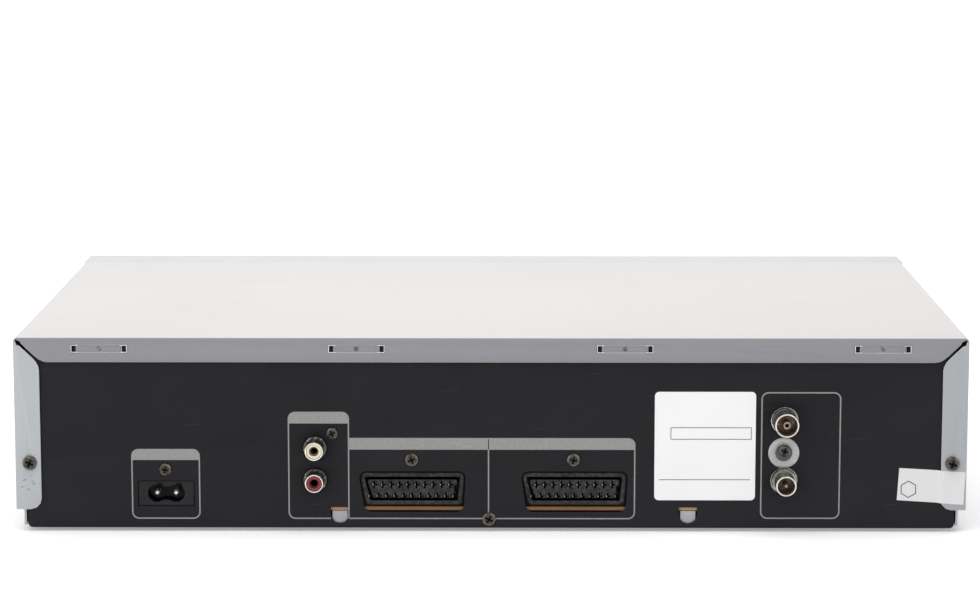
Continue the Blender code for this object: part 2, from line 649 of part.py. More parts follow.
def together(*shapes):
    """Shapes that don't touch each other, in one mesh."""
    mesh = bmesh.new()
    for shape in shapes:
        copy = bpy.data.meshes.new("copy")
        shape.to_mesh(copy)
        shape.free()
        mesh.from_mesh(copy)
        bpy.data.meshes.remove(copy)
    return mesh


def placed(shape, matrix):
    """A shape moved by a matrix."""
    bmesh.ops.transform(shape, matrix=matrix, verts=shape.verts)
    return shape


def surface(name):
    """The material of one named surface."""
    made = bpy.data.materials.get(name)
    if made:
        return made
    colour, roughness, metallic = SURFACES[name]
    made = bpy.data.materials.new(name)
    made.use_nodes = True
    shader = made.node_tree.nodes["Principled BSDF"]
    shader.inputs["Base Color"].default_value = (*colour, 1.0)
    shader.inputs["Roughness"].default_value = roughness
    shader.inputs["Metallic"].default_value = metallic
    made.diffuse_color = (*colour, 1.0)
    return made


def object_from(name, shape):
    """A scene object that holds a shape."""
    mesh = bpy.data.meshes.new(name)
    shape.to_mesh(mesh)
    shape.free()
    made = bpy.data.objects.new(name, mesh)
    bpy.context.scene.collection.objects.link(made)
    return made


def shaped(name, shape, steps):
    """An object after its steps, each a shape joined to it or cut out of it."""
    made = object_from(name, shape)
    helpers = []
    for operation, tool in steps:
        helper = object_from(name + "_tool", tool)
        helper.hide_render = True
        helper.display_type = "WIRE"
        helpers.append(helper)
        change = made.modifiers.new(operation.title(), "BOOLEAN")
        change.operation = operation
        change.solver = "EXACT"
        change.object = helper
    if helpers:
        bpy.context.view_layer.update()
        finished = bpy.data.meshes.new_from_object(made.evaluated_get(bpy.context.evaluated_depsgraph_get()))
        made.modifiers.clear()
        made.data = finished
        for helper in helpers:
            bpy.data.objects.remove(helper)
    return made


def piece(name, shape, finish, *steps, origin=(0, 0, 0)):
    """One named sub-part with its material, its shading and its origin."""
    made = shaped(name, shape, steps)
    made.data.materials.clear()
    made.data.materials.append(finish)
    made.data.transform(Matrix.Translation(-Vector(origin)))
    made.location = origin
    made.data.shade_smooth()
    made.data.set_sharp_from_angle(angle=SMOOTH_ANGLE)
    return made


def gear_outline(middle, teeth, module, backlash, turn):
    """A spur gear's outline with involute flanks and one tooth centred at the turn."""
    pitch = module * teeth / 2
    base = pitch * math.cos(PRESSURE_ANGLE)
    tip = pitch + module
    root = pitch - module * (1 + ROOT_CLEARANCE_SHARE)
    half_tooth = (math.pi * module / 2 - backlash) / 2 / pitch
    involute_at_pitch = math.tan(PRESSURE_ANGLE) - PRESSURE_ANGLE
    flank = []
    for step in range(FLANK_STEPS + 1):
        radius = max(base, root) + (tip - max(base, root)) * step / FLANK_STEPS
        slope = math.acos(min(1, base / radius))
        flank.append((radius, half_tooth + involute_at_pitch - (math.tan(slope) - slope)))
    if root < base:
        flank.insert(0, (root, flank[0][1]))
    points = []
    for tooth in range(teeth):
        centre = turn + 2 * math.pi * tooth / teeth
        sides = [(radius, centre - angle) for radius, angle in flank]
        sides += [(radius, centre + angle) for radius, angle in reversed(flank)]
        points += [(middle[0] + radius * math.cos(angle), middle[1] + radius * math.sin(angle))
                   for radius, angle in sides]
    return points


def rack_outline(start, end, pitch_z, bottom_z, first_tooth):
    """A rack's side outline with straight-flanked teeth on its upper edge, in Y and Z."""
    half = math.pi * GEAR_MODULE / 4 - TOOTH_BACKLASH / 4
    lean = math.tan(PRESSURE_ANGLE)
    root_drop = GEAR_MODULE * (1 + ROOT_CLEARANCE_SHARE)
    points = [(start, pitch_z - root_drop), (start, bottom_z), (end, bottom_z), (end, pitch_z - root_drop)]
    pitch = math.pi * GEAR_MODULE
    last = math.floor((end - first_tooth - half - root_drop * lean) / pitch)
    first = math.ceil((start - first_tooth + half + root_drop * lean) / pitch)
    for index in range(last, first - 1, -1):
        middle = first_tooth + index * pitch
        points += [(middle + half + root_drop * lean, pitch_z - root_drop),
                   (middle + half - GEAR_MODULE * lean, pitch_z + GEAR_MODULE),
                   (middle - half + GEAR_MODULE * lean, pitch_z + GEAR_MODULE),
                   (middle - half - root_drop * lean, pitch_z - root_drop)]
    return points


def make_cover():
    """Bent sheet cover: top, sides with returns, rear flanges with mitred corners and four lances."""
    paint = surface("cover_paint")
    front = FASCIA_BACK_Y + SEAT_GAP
    bend = COVER_BEND_RADIUS

    def arch(half, top, bottom, radius):
        left = arc((-half + radius, top - radius), radius, math.pi, math.pi / 2, CORNER_STEPS)
        right = arc((half - radius, top - radius), radius, math.pi / 2, 0, CORNER_STEPS)
        return [(-half, bottom)] + left + right + [(half, bottom)]

    inner_half = HALF_WIDTH - STEEL_SHEET
    inside = prism(arch(inner_half, TOP_Z - STEEL_SHEET, COVER_BOTTOM_Z + STEEL_SHEET, bend - STEEL_SHEET),
                   "Y", (front - CUT_OVERRUN, REAR_Y - STEEL_SHEET))
    below = block((-inner_half + COVER_RETURN, inner_half - COVER_RETURN),
                  (front - CUT_OVERRUN, REAR_Y - STEEL_SHEET),
                  (COVER_BOTTOM_Z - CUT_OVERRUN, COVER_BOTTOM_Z + STEEL_SHEET + CUT_OVERRUN))
    window_half = HALF_WIDTH - FLANGE_SIDE_WIDTH
    window_top = TOP_Z - FLANGE_TOP_WIDTH
    toe = FLANGE_TOE_RADIUS
    right_toe = arc((window_half + toe, COVER_BOTTOM_Z + toe), toe, -math.pi / 2, -math.pi, CORNER_STEPS)
    right_top = arc((window_half - bend, window_top - bend), bend, 0, math.pi / 2, CORNER_STEPS)
    right = [(window_half + toe, COVER_BOTTOM_Z - CUT_OVERRUN)] + right_toe + right_top
    outline = right + [(-first, second) for first, second in reversed(right)]
    window = prism(outline, "Y", (REAR_Y - STEEL_SHEET - CUT_OVERRUN, REAR_Y + CUT_OVERRUN))

    cuts = [inside, below, window]
    flange_y = (REAR_Y - STEEL_SHEET - CUT_OVERRUN, REAR_Y + CUT_OVERRUN)
    slit_length = math.hypot(FLANGE_SIDE_WIDTH, FLANGE_TOP_WIDTH)
    slits = []
    for side in (-1, 1):
        lean = math.atan2(FLANGE_TOP_WIDTH, FLANGE_SIDE_WIDTH)
        slit = block((-CUT_OVERRUN, slit_length - MITRE_RELIEF / 2), flange_y, span(0, MITRE_SLIT))
        turn = Matrix.Rotation(-lean, 4, "Y")
        flip = Matrix.Scale(side, 4, (1, 0, 0))
        corner = Matrix.Translation((side * window_half, 0, window_top))
        slit = placed(slit, corner @ flip @ turn)
        bmesh.ops.recalc_face_normals(slit, faces=slit.faces)
        slits.append(slit)
    cuts.append(together(*slits))
    cuts.append(together(*mitre_flares(window_half, window_top, flange_y)))
    reliefs = [rod((side * (HALF_WIDTH - MITRE_RELIEF), TOP_Z - MITRE_RELIEF), MITRE_RELIEF / 2,
                   flange_y, "Y", FEW_FACETS) for side in (-1, 1)]
    cuts.append(together(*reliefs))

    lance_z = span(TOP_Z - FLANGE_TOP_WIDTH + LANCE_RISE + LANCE_HEIGHT / 2, LANCE_HEIGHT)
    dimple_y = (REAR_Y - LANCE_DEPTH * 2, REAR_Y + CUT_OVERRUN)
    recesses = []
    ends = []
    dimples = []
    for share in LANCE_X_SHARES:
        x = span(share * CASE_WIDTH, LANCE_WIDTH)
        recesses.append(block(x, (REAR_Y - LANCE_DEPTH, REAR_Y + CUT_OVERRUN), lance_z))
        for end in ((x[0], x[0] + LANCE_END_GAP), (x[1] - LANCE_END_GAP, x[1])):
            ends.append(block(end, flange_y, lance_z))
        dimples.append(rod((share * CASE_WIDTH, sum(lance_z) / 2), LANCE_DIMPLE_RADIUS, dimple_y, "Y"))
    cuts += [together(*recesses), together(*ends, *dimples)]
    holes = [rod((side * SCREW_X, SCREW_Z), SCREW_HOLE_RADIUS, flange_y, "Y", FEW_FACETS)
             for side in (-1, 1)]
    cuts.append(together(*holes))
    outside = prism(arch(HALF_WIDTH, TOP_Z, COVER_BOTTOM_Z, bend), "Y", (front, REAR_Y))
    piece("top_cover", outside, paint, *[(CUT, tool) for tool in cuts])


def mitre_flares(window_half, window_top, depth_y):
    """Cuts that round both flanges' ends where each corner slit meets the rear window."""
    lean = math.atan2(FLANGE_TOP_WIDTH, FLANGE_SIDE_WIDTH)
    along = Vector((math.cos(lean), math.sin(lean)))
    across = Vector((-math.sin(lean), math.cos(lean)))
    corner = Vector((window_half, window_top))
    half_slit = MITRE_SLIT / 2
    upper_end = corner + along * MITRE_FLARE_DEPTH + across * half_slit
    lower_end = corner + along * MITRE_FLARE_DEPTH - across * half_slit
    upper_bend = corner - Vector((half_slit / math.sin(lean), 0))
    lower_bend = corner - Vector((0, half_slit / math.cos(lean)))
    upper_start = corner - Vector((MITRE_FLARE, 0))
    lower_start = corner - Vector((0, MITRE_FLARE))
    outline = bent(upper_start, upper_bend, upper_end) + bent(lower_end, lower_bend, lower_start)
    outline.append(tuple(corner - Vector((MITRE_FLARE, MITRE_FLARE))))
    mirrored = [(-first, second) for first, second in reversed(outline)]
    return [prism(outline, "Y", depth_y), prism(mirrored, "Y", depth_y)]


def bent(start, bend, end):
    """Points of a curve that leaves one point and reaches another, pulled towards a bend."""
    shares = [step / CORNER_STEPS for step in range(CORNER_STEPS + 1)]
    return [tuple(start.lerp(bend, share).lerp(bend.lerp(end, share), share)) for share in shares]


def av_outline(middle, inset, lift=0):
    """The slanted socket outline in X and Z, drawn in by an inset and lifted further at its foot."""
    left = middle - AV_TOP_WIDTH / 2 + inset
    right = middle + AV_TOP_WIDTH / 2 - inset
    top = AV_TOP_Z - inset
    bottom = AV_BOTTOM_Z + inset + lift
    corners = [(left, top), (left + AV_BASE_INSET, bottom), (right - AV_SLANT, bottom), (right, top)]
    return fillet(corners, max(AV_CORNER_RADIUS - inset, AV_CORNER_RADIUS / 4))


def fillet(corners, radius):
    """An outline with each corner rounded by an arc."""
    points = []
    count = len(corners)
    for index in range(count):
        here = Vector(corners[index])
        before = (Vector(corners[index - 1]) - here).normalized()
        after = (Vector(corners[(index + 1) % count]) - here).normalized()
        half = before.angle(after) / 2
        bisector = (before + after).normalized()
        middle = here + bisector * (radius / math.sin(half))
        start = here + before * (radius / math.tan(half)) - middle
        end = here + after * (radius / math.tan(half)) - middle
        turn = start.angle_signed(end)
        for step in range(CORNER_STEPS + 1):
            angle = -turn * step / CORNER_STEPS
            cos, sin = math.cos(angle), math.sin(angle)
            points.append((middle.x + start.x * cos - start.y * sin,
                           middle.y + start.x * sin + start.y * cos))
    return points


def make_chassis():
    """Plated tray with side walls, a front lip, board bosses, floor vents and two tabs behind the panel."""
    plating = surface("plated_steel")
    front = FASCIA_BACK_Y + SEAT_GAP
    rear = PANEL_BACK_Y - SEAT_GAP
    inner = TRAY_HALF - TRAY_SHEET
    floor = block((-TRAY_HALF, TRAY_HALF), (front, rear), (BASE_Z, TRAY_TOP_Z))
    wall_z = (BASE_Z, BASE_Z + TRAY_WALL_HEIGHT)
    walls = [block((-TRAY_HALF, -inner), (front, PANEL_FACE_Y), wall_z),
             block((inner, TRAY_HALF), (front, PANEL_FACE_Y), wall_z)]
    lip = block((-TRAY_HALF, TRAY_HALF), (front, front + TRAY_SHEET), (BASE_Z, TRAY_TOP_Z + TRAY_LIP))
    boss_z = (BASE_Z, BOARD_Z - SEAT_GAP)
    edge = BOSS_RADIUS * 2
    places = []
    for x in (BOARD_X[0] + edge, 0, BOARD_X[1] - edge):
        places += [(x, BOARD_FRONT_Y + edge), (x, BOARD_REAR_Y - edge * 2)]
    wing_y = BOARD_FRONT_Y - BOARD_WING_LENGTH + edge
    places += [(BOARD_WING_X + edge, wing_y), (BOARD_X[1] - edge, wing_y)]
    bosses = [rod(place, BOSS_RADIUS, boss_z, facets=FEW_FACETS) for place in places]
    tabs = [block(span(share * CASE_WIDTH, TAB_WIDTH), (rear - TAB_SHEET, rear),
                  (BASE_Z, BOARD_Z - SEAT_GAP)) for share in NOTCH_X_SHARES]
    vents = []
    for side in (-1, 1):
        for index in range(VENT_COUNT):
            x = side * VENT_X_SHARE * CASE_WIDTH + (index - (VENT_COUNT - 1) / 2) * VENT_PITCH
            vents.append(block(span(x, VENT_WIDTH), span(VENT_Y_SHARE * BODY_DEPTH, VENT_LENGTH),
                               (BASE_Z - CUT_OVERRUN, TRAY_TOP_Z + CUT_OVERRUN)))
    piece("base_chassis", floor, plating, (JOIN, together(*walls)), (JOIN, lip),
          (JOIN, together(*bosses, *tabs)), (CUT, together(*vents)))


def make_rear_panel():
    """Painted sheet with the socket openings, a turned-in toe at the bottom and a dished masked ring."""
    paint = surface("panel_paint")
    half = TRAY_HALF - TRAY_SHEET - PANEL_EDGE_GAP
    sheet = (PANEL_BACK_Y, PANEL_FACE_Y)
    through = widened(sheet, CUT_OVERRUN)
    top = TOP_Z - STEEL_SHEET - SEAT_GAP
    face = prism(rounded((-half, half), (BASE_Z, top), PANEL_CORNER_RADIUS), "Y", sheet)
    toe_half = half - PANEL_CORNER_RADIUS
    toes = []
    edges = sorted([-toe_half, toe_half] + [share * CASE_WIDTH + side * NOTCH_WIDTH
                                            for share in NOTCH_X_SHARES for side in (-1, 1)])
    toe_z = (TRAY_TOP_Z + SEAT_GAP, TRAY_TOP_Z + SEAT_GAP + PANEL_SHEET)
    for start, end in zip(edges[::2], edges[1::2]):
        toes.append(block((start, end), (PANEL_BACK_Y - PANEL_TOE, PANEL_BACK_Y + PANEL_SHEET / 2), toe_z))
    notches = []
    for share in NOTCH_X_SHARES:
        x = share * CASE_WIDTH
        radius = NOTCH_WIDTH / 2
        base = BASE_Z + NOTCH_LIFT
        outline = arc((x, base + radius), radius, math.pi, 2 * math.pi, CORNER_STEPS * 2)
        outline += [(x + radius, base + NOTCH_HEIGHT), (x - radius, base + NOTCH_HEIGHT)]
        notches.append(prism(outline, "Y", through))
    ac = block(span(AC_X, AC_FACE_WIDTH), through, span(AC_Z, AC_FACE_HEIGHT))
    audio = [rod((AUDIO_X, z), AUDIO_COLLAR_RADIUS + RUNNING_GAP, through, "Y") for z in AUDIO_Z.values()]
    av = [prism(av_outline(x, 0), "Y", through) for x in AV_CENTRES]
    rf = [rod((RF_X, z), RF_FLANGE_RADIUS + RF_HOLE_GAP, through, "Y") for z in RF_Z.values()]
    ring = rod((RF_X, BASE_Z + RING_HEIGHT), RING_RADIUS,
               (PANEL_FACE_Y - RING_DEPTH, PANEL_FACE_Y + CUT_OVERRUN), "Y")
    screws = [rod((side * SCREW_X, SCREW_Z), SCREW_HOLE_RADIUS, through, "Y", FEW_FACETS) for side in (-1, 1)]
    piece("rear_panel", face, paint, (JOIN, together(*toes)),
          (CUT, together(ac, *notches, *audio, *av, *rf, *screws)), (CUT, ring))


def make_feet():
    """Four tapered feet with a screw recess, against the underside of the tray."""
    plastic = surface("foot_plastic")
    top = BASE_Z - SEAT_GAP
    profile = [(0, FOOT_RECESS_DEPTH), (FOOT_RECESS_RADIUS, FOOT_RECESS_DEPTH), (FOOT_RECESS_RADIUS, 0),
               (FOOT_RADIUS - FOOT_TAPER, 0), (FOOT_RADIUS, top), (0, top)]
    rows = {"front": FASCIA_BACK_Y + FOOT_FRONT_SETBACK, "rear": PANEL_BACK_Y - FOOT_REAR_SETBACK}
    for row, y in rows.items():
        for side, sign in (("left", 1), ("right", -1)):
            place = (sign * FOOT_X_SHARE * CASE_WIDTH, y)
            piece(f"foot_{row}_{side}", turned(profile, SOME_FACETS, place), plastic)


def make_cover_screws():
    """The two side flange screws: domed head with a cross recess, and a shank through flange and panel."""
    bronze = surface("dark_screw")
    head = REAR_Y + SEAT_GAP
    crown = head + SCREW_HEAD_HEIGHT
    profile = [(0, REAR_Y - SCREW_LENGTH), (SCREW_HOLE_RADIUS - RUNNING_GAP, REAR_Y - SCREW_LENGTH),
               (SCREW_HOLE_RADIUS - RUNNING_GAP, head), (SCREW_HEAD_RADIUS, head),
               (SCREW_HEAD_RADIUS, head + SCREW_HEAD_HEIGHT / 3),
               (SCREW_HEAD_RADIUS * SCREW_CROWN_SHARE, crown), (0, crown)]
    for name, side in (("left", 1), ("right", -1)):
        place = (side * SCREW_X, SCREW_Z)
        screw = turned(profile, SOME_FACETS, place, "Y")
        slots = [block(span(place[0], width), (crown - SCREW_SLOT_DEPTH, crown + CUT_OVERRUN),
                       span(place[1], height))
                 for width, height in ((SCREW_SLOT_REACH * 2, SCREW_SLOT_WIDTH),
                                       (SCREW_SLOT_WIDTH, SCREW_SLOT_REACH * 2))]
        piece(f"cover_screw_{name}", screw, bronze, *[(CUT, slot) for slot in slots])


def make_ac_inlet():
    """Mains inlet: moulded block with a figure-8 cavity and two round pins in it."""
    black = surface("black_moulding")
    nickel = surface("nickel")
    face = PANEL_FACE_Y - AC_FACE_SINK
    nose = block(widened(span(AC_X, AC_FACE_WIDTH), -SEAT_GAP), (PANEL_BACK_Y - PANEL_SHEET, face),
                 widened(span(AC_Z, AC_FACE_HEIGHT), -SEAT_GAP))
    body = block(widened(span(AC_X, AC_FACE_WIDTH), AC_FLANGE),
                 (PANEL_BACK_Y - SEAT_GAP - AC_BODY_DEPTH, PANEL_BACK_Y - SEAT_GAP),
                 (BOARD_TOP_Z + SEAT_GAP, AC_Z + AC_FACE_HEIGHT / 2 + AC_FLANGE))
    lobe = AC_PIN_PITCH / 2
    waist = AC_LOBE_RADIUS * AC_WAIST_SHARE
    turn = math.asin(AC_WAIST_SHARE)
    right = arc((AC_X + lobe, AC_Z), AC_LOBE_RADIUS, turn - math.pi, math.pi - turn, CORNER_STEPS * 3)
    left = arc((AC_X - lobe, AC_Z), AC_LOBE_RADIUS, turn, 2 * math.pi - turn, CORNER_STEPS * 3)
    cavity = prism(right + left, "Y", (face - AC_CAVITY_DEPTH, face + CUT_OVERRUN))
    piece("ac_inlet", body, black, (JOIN, nose), (CUT, cavity))
    start = face - AC_CAVITY_DEPTH + SEAT_GAP
    for name, side in (("left", 1), ("right", -1)):
        tip = start + AC_PIN_LENGTH
        pin = turned([(0, start), (AC_PIN_RADIUS, start), (AC_PIN_RADIUS, tip - AC_PIN_RADIUS / 2),
                      (AC_PIN_RADIUS / 2, tip), (0, tip)], FEW_FACETS, (AC_X + side * lobe, AC_Z), "Y")
        piece(f"ac_inlet_pin_{name}", pin, nickel)


def make_audio_sockets():
    """Two phono sockets: one moulded block with collars, and a metal shell and an insulator on each."""
    black = surface("black_moulding")
    nickel = surface("nickel")
    colours = {"left": surface("white_insulator"),
               "right": surface("red_insulator")}
    rear = PANEL_BACK_Y - SEAT_GAP
    body = block(span(AUDIO_X, AUDIO_BLOCK_WIDTH), (rear - AUDIO_BLOCK_DEPTH, rear),
                 (BOARD_TOP_Z + SEAT_GAP, AUDIO_Z["left"] + AUDIO_COLLAR_RADIUS + AUDIO_SHELL_WALL))
    collars = [rod((AUDIO_X, z), AUDIO_COLLAR_RADIUS, (rear - PANEL_SHEET, PANEL_FACE_Y), "Y")
               for z in AUDIO_Z.values()]
    bore_y = (rear - AUDIO_BLOCK_DEPTH / 2, PANEL_FACE_Y + CUT_OVERRUN)
    bores = [rod((AUDIO_X, z), AUDIO_BORE_RADIUS, bore_y, "Y", FEW_FACETS) for z in AUDIO_Z.values()]
    piece("audio_jack_block", body, black, (JOIN, together(*collars)), (CUT, together(*bores)))
    base = PANEL_FACE_Y + SEAT_GAP
    tip = PANEL_FACE_Y + AUDIO_REACH
    inner = AUDIO_SHELL_RADIUS - AUDIO_SHELL_WALL
    for side, z in AUDIO_Z.items():
        brim = base + AUDIO_SHELL_WALL
        shell = turned([(inner, base), (AUDIO_COLLAR_RADIUS, base), (AUDIO_COLLAR_RADIUS, brim),
                        (AUDIO_SHELL_RADIUS, brim), (AUDIO_SHELL_RADIUS, tip), (inner, tip)],
                       SOCKET_FACETS, (AUDIO_X, z), "Y")
        piece(f"audio_shell_{side}", shell, nickel)
        core = turned([(AUDIO_BORE_RADIUS, base), (inner - RUNNING_GAP, base),
                       (inner - RUNNING_GAP, tip - AUDIO_FACE_SINK),
                       (AUDIO_BORE_RADIUS, tip - AUDIO_FACE_SINK)],
                      SOME_FACETS, (AUDIO_X, z), "Y")
        piece(f"audio_insulator_{side}", core, colours[side])


def make_av_sockets():
    """Two 21-way sockets: a body on the board, a rim in the panel and a core with two rows of contacts."""
    black = surface("socket_moulding")
    rear = PANEL_BACK_Y - SEAT_GAP
    face = PANEL_FACE_Y - AV_FACE_SINK
    floor = face - AV_GROOVE_DEPTH
    low_row = AV_BOTTOM_Z + AV_ROW_LIFT
    rows = [(low_row, AV_ROW_COUNT + 1), (low_row + AV_ROW_PITCH, AV_ROW_COUNT)]
    for name, x in zip(("one", "two"), AV_CENTRES):
        body = block(widened(span(x, AV_TOP_WIDTH), AV_BODY_MARGIN), (rear - AV_BODY_DEPTH, rear),
                     (BOARD_TOP_Z + SEAT_GAP, AV_TOP_Z + AV_BODY_MARGIN))
        rim = prism(av_outline(x, AV_RING_GAP, AV_BOARD_STEP), "Y", (rear - PANEL_SHEET, face))
        channel = prism(av_outline(x, AV_RING_GAP + AV_RIM, AV_BOARD_STEP), "Y", (floor, face + CUT_OVERRUN))
        core = prism(av_outline(x, AV_RING_GAP + AV_RIM + AV_GROOVE, AV_BOARD_STEP), "Y",
                     (floor - CUT_OVERRUN, face))
        slots = []
        for z, count in rows:
            for index in range(count):
                middle = x + (index - (count - 1) / 2) * AV_CONTACT_PITCH
                slots.append(block(span(middle, AV_CONTACT_WIDTH),
                                   (face - AV_CONTACT_DEPTH, face + CUT_OVERRUN),
                                   span(z, AV_CONTACT_LENGTH)))
        edge = x - AV_TOP_WIDTH / 2 + AV_RING_GAP + AV_RIM + AV_GROOVE
        key = block((edge - AV_GROOVE / 2, edge + AV_KEY_WIDTH), (floor, face + CUT_OVERRUN),
                    span((AV_BOTTOM_Z + AV_TOP_Z + AV_BOARD_STEP) / 2, AV_KEY_HEIGHT))
        piece(f"av_socket_{name}", body, black, (JOIN, rim), (CUT, channel), (JOIN, core),
              (CUT, together(*slots)), (CUT, key))


def make_tuner():
    """Screened tuner can with a lid seam, and the two aerial sockets on its rear face."""
    tin = surface("tinned_steel")
    nickel = surface("nickel")
    rear = PANEL_BACK_Y - SEAT_GAP
    x = span(TUNER_X_SHARE * CASE_WIDTH, TUNER_WIDTH)
    z = (BOARD_TOP_Z + SEAT_GAP, BOARD_TOP_Z + SEAT_GAP + TUNER_HEIGHT)
    front = BOARD_FRONT_Y + SEAT_GAP
    lid_y = front + TUNER_LID
    heart = block(widened(x, -TUNER_SEAM), (lid_y - CUT_OVERRUN, lid_y + TUNER_SEAM + CUT_OVERRUN),
                  widened(z, -TUNER_SEAM))
    piece("tuner_module", block(x, (lid_y + TUNER_SEAM, rear), z), tin, (JOIN, heart),
          (JOIN, block(x, (front, lid_y), z)))
    base = rear + SEAT_GAP
    tip = PANEL_FACE_Y + STEEL_SHEET + SEAT_GAP + SOCKET_REACH
    for name, z in RF_Z.items():
        radius = RF_IN_RADIUS if name == "rf_in_socket" else RF_OUT_RADIUS
        inner = radius - RF_WALL
        floor = tip - RF_CAVITY_DEPTH
        flange = PANEL_FACE_Y + RF_FLANGE
        profile = [(0, base), (RF_FLANGE_RADIUS, base), (RF_FLANGE_RADIUS, flange), (radius, flange),
                   (radius, tip), (inner, tip), (inner, floor)]
        if name == "rf_in_socket":
            profile += [(RF_CORE_RADIUS, floor), (RF_CORE_RADIUS, tip - RF_WALL),
                        (RF_CORE_BORE, tip - RF_WALL),
                        (RF_CORE_BORE, floor), (0, floor)]
        else:
            profile += [(RF_PIN_RADIUS, floor), (RF_PIN_RADIUS, tip - RF_WALL), (0, tip - RF_WALL / 2)]
        piece(name, turned(profile, SOCKET_FACETS, (RF_X, z), "Y"), nickel)


def make_boards():
    """The main board with its wing under the transformer, the front board, transformer and display."""
    laminate = surface("board_laminate")
    wing_y = BOARD_FRONT_Y - BOARD_WING_LENGTH
    outline = [(BOARD_X[0], BOARD_FRONT_Y), (BOARD_WING_X, BOARD_FRONT_Y), (BOARD_WING_X, wing_y),
               (BOARD_X[1], wing_y), (BOARD_X[1], BOARD_REAR_Y), (BOARD_X[0], BOARD_REAR_Y)]
    piece("main_board", prism(outline, "Z", (BOARD_Z, BOARD_TOP_Z)), laminate)
    lamination = surface("lamination_steel")
    x = TRANSFORMER_X_SHARE * CASE_WIDTH
    y = BOARD_FRONT_Y - TRANSFORMER_FROM_BOARD
    low = BOARD_TOP_Z + SEAT_GAP
    core = block(span(x, TRANSFORMER_WIDTH), span(y, TRANSFORMER_DEPTH), (low, low + TRANSFORMER_HEIGHT))
    winding = prism(rounded(span(x, WINDING_WIDTH), span(y, WINDING_DEPTH), WINDING_RADIUS), "Z",
                    span(low + TRANSFORMER_HEIGHT / 2, WINDING_HEIGHT))
    piece("power_transformer", core, lamination, (JOIN, winding))
    left, right = FRONT_BOARD_X
    low, middle = FRONT_STRIP_Z
    high = FRONT_BOARD_TOP_Z
    step = MOUTH_X[1] + SLEEVE_WALL + FRONT_BOARD_GAP
    shape = [(left, low), (right, low), (right, high), (step, high), (step, middle), (left, middle)]
    piece("front_board", prism(shape, "Y", (FRONT_BOARD_Y, FRONT_BOARD_Y + BOARD_SHEET)), laminate)
    glass = surface("display_glass")
    tube_x = widened(WINDOW_X, -TUBE_MARGIN)
    tube_z = widened(WINDOW_Z, -TUBE_MARGIN / 2)
    tube = prism(rounded(tube_x, tube_z, WINDOW_FLANGE), "Y",
                 (FRONT_BOARD_Y - SEAT_GAP - TUBE_DEPTH, FRONT_BOARD_Y - SEAT_GAP))
    piece("display_tube", tube, glass)


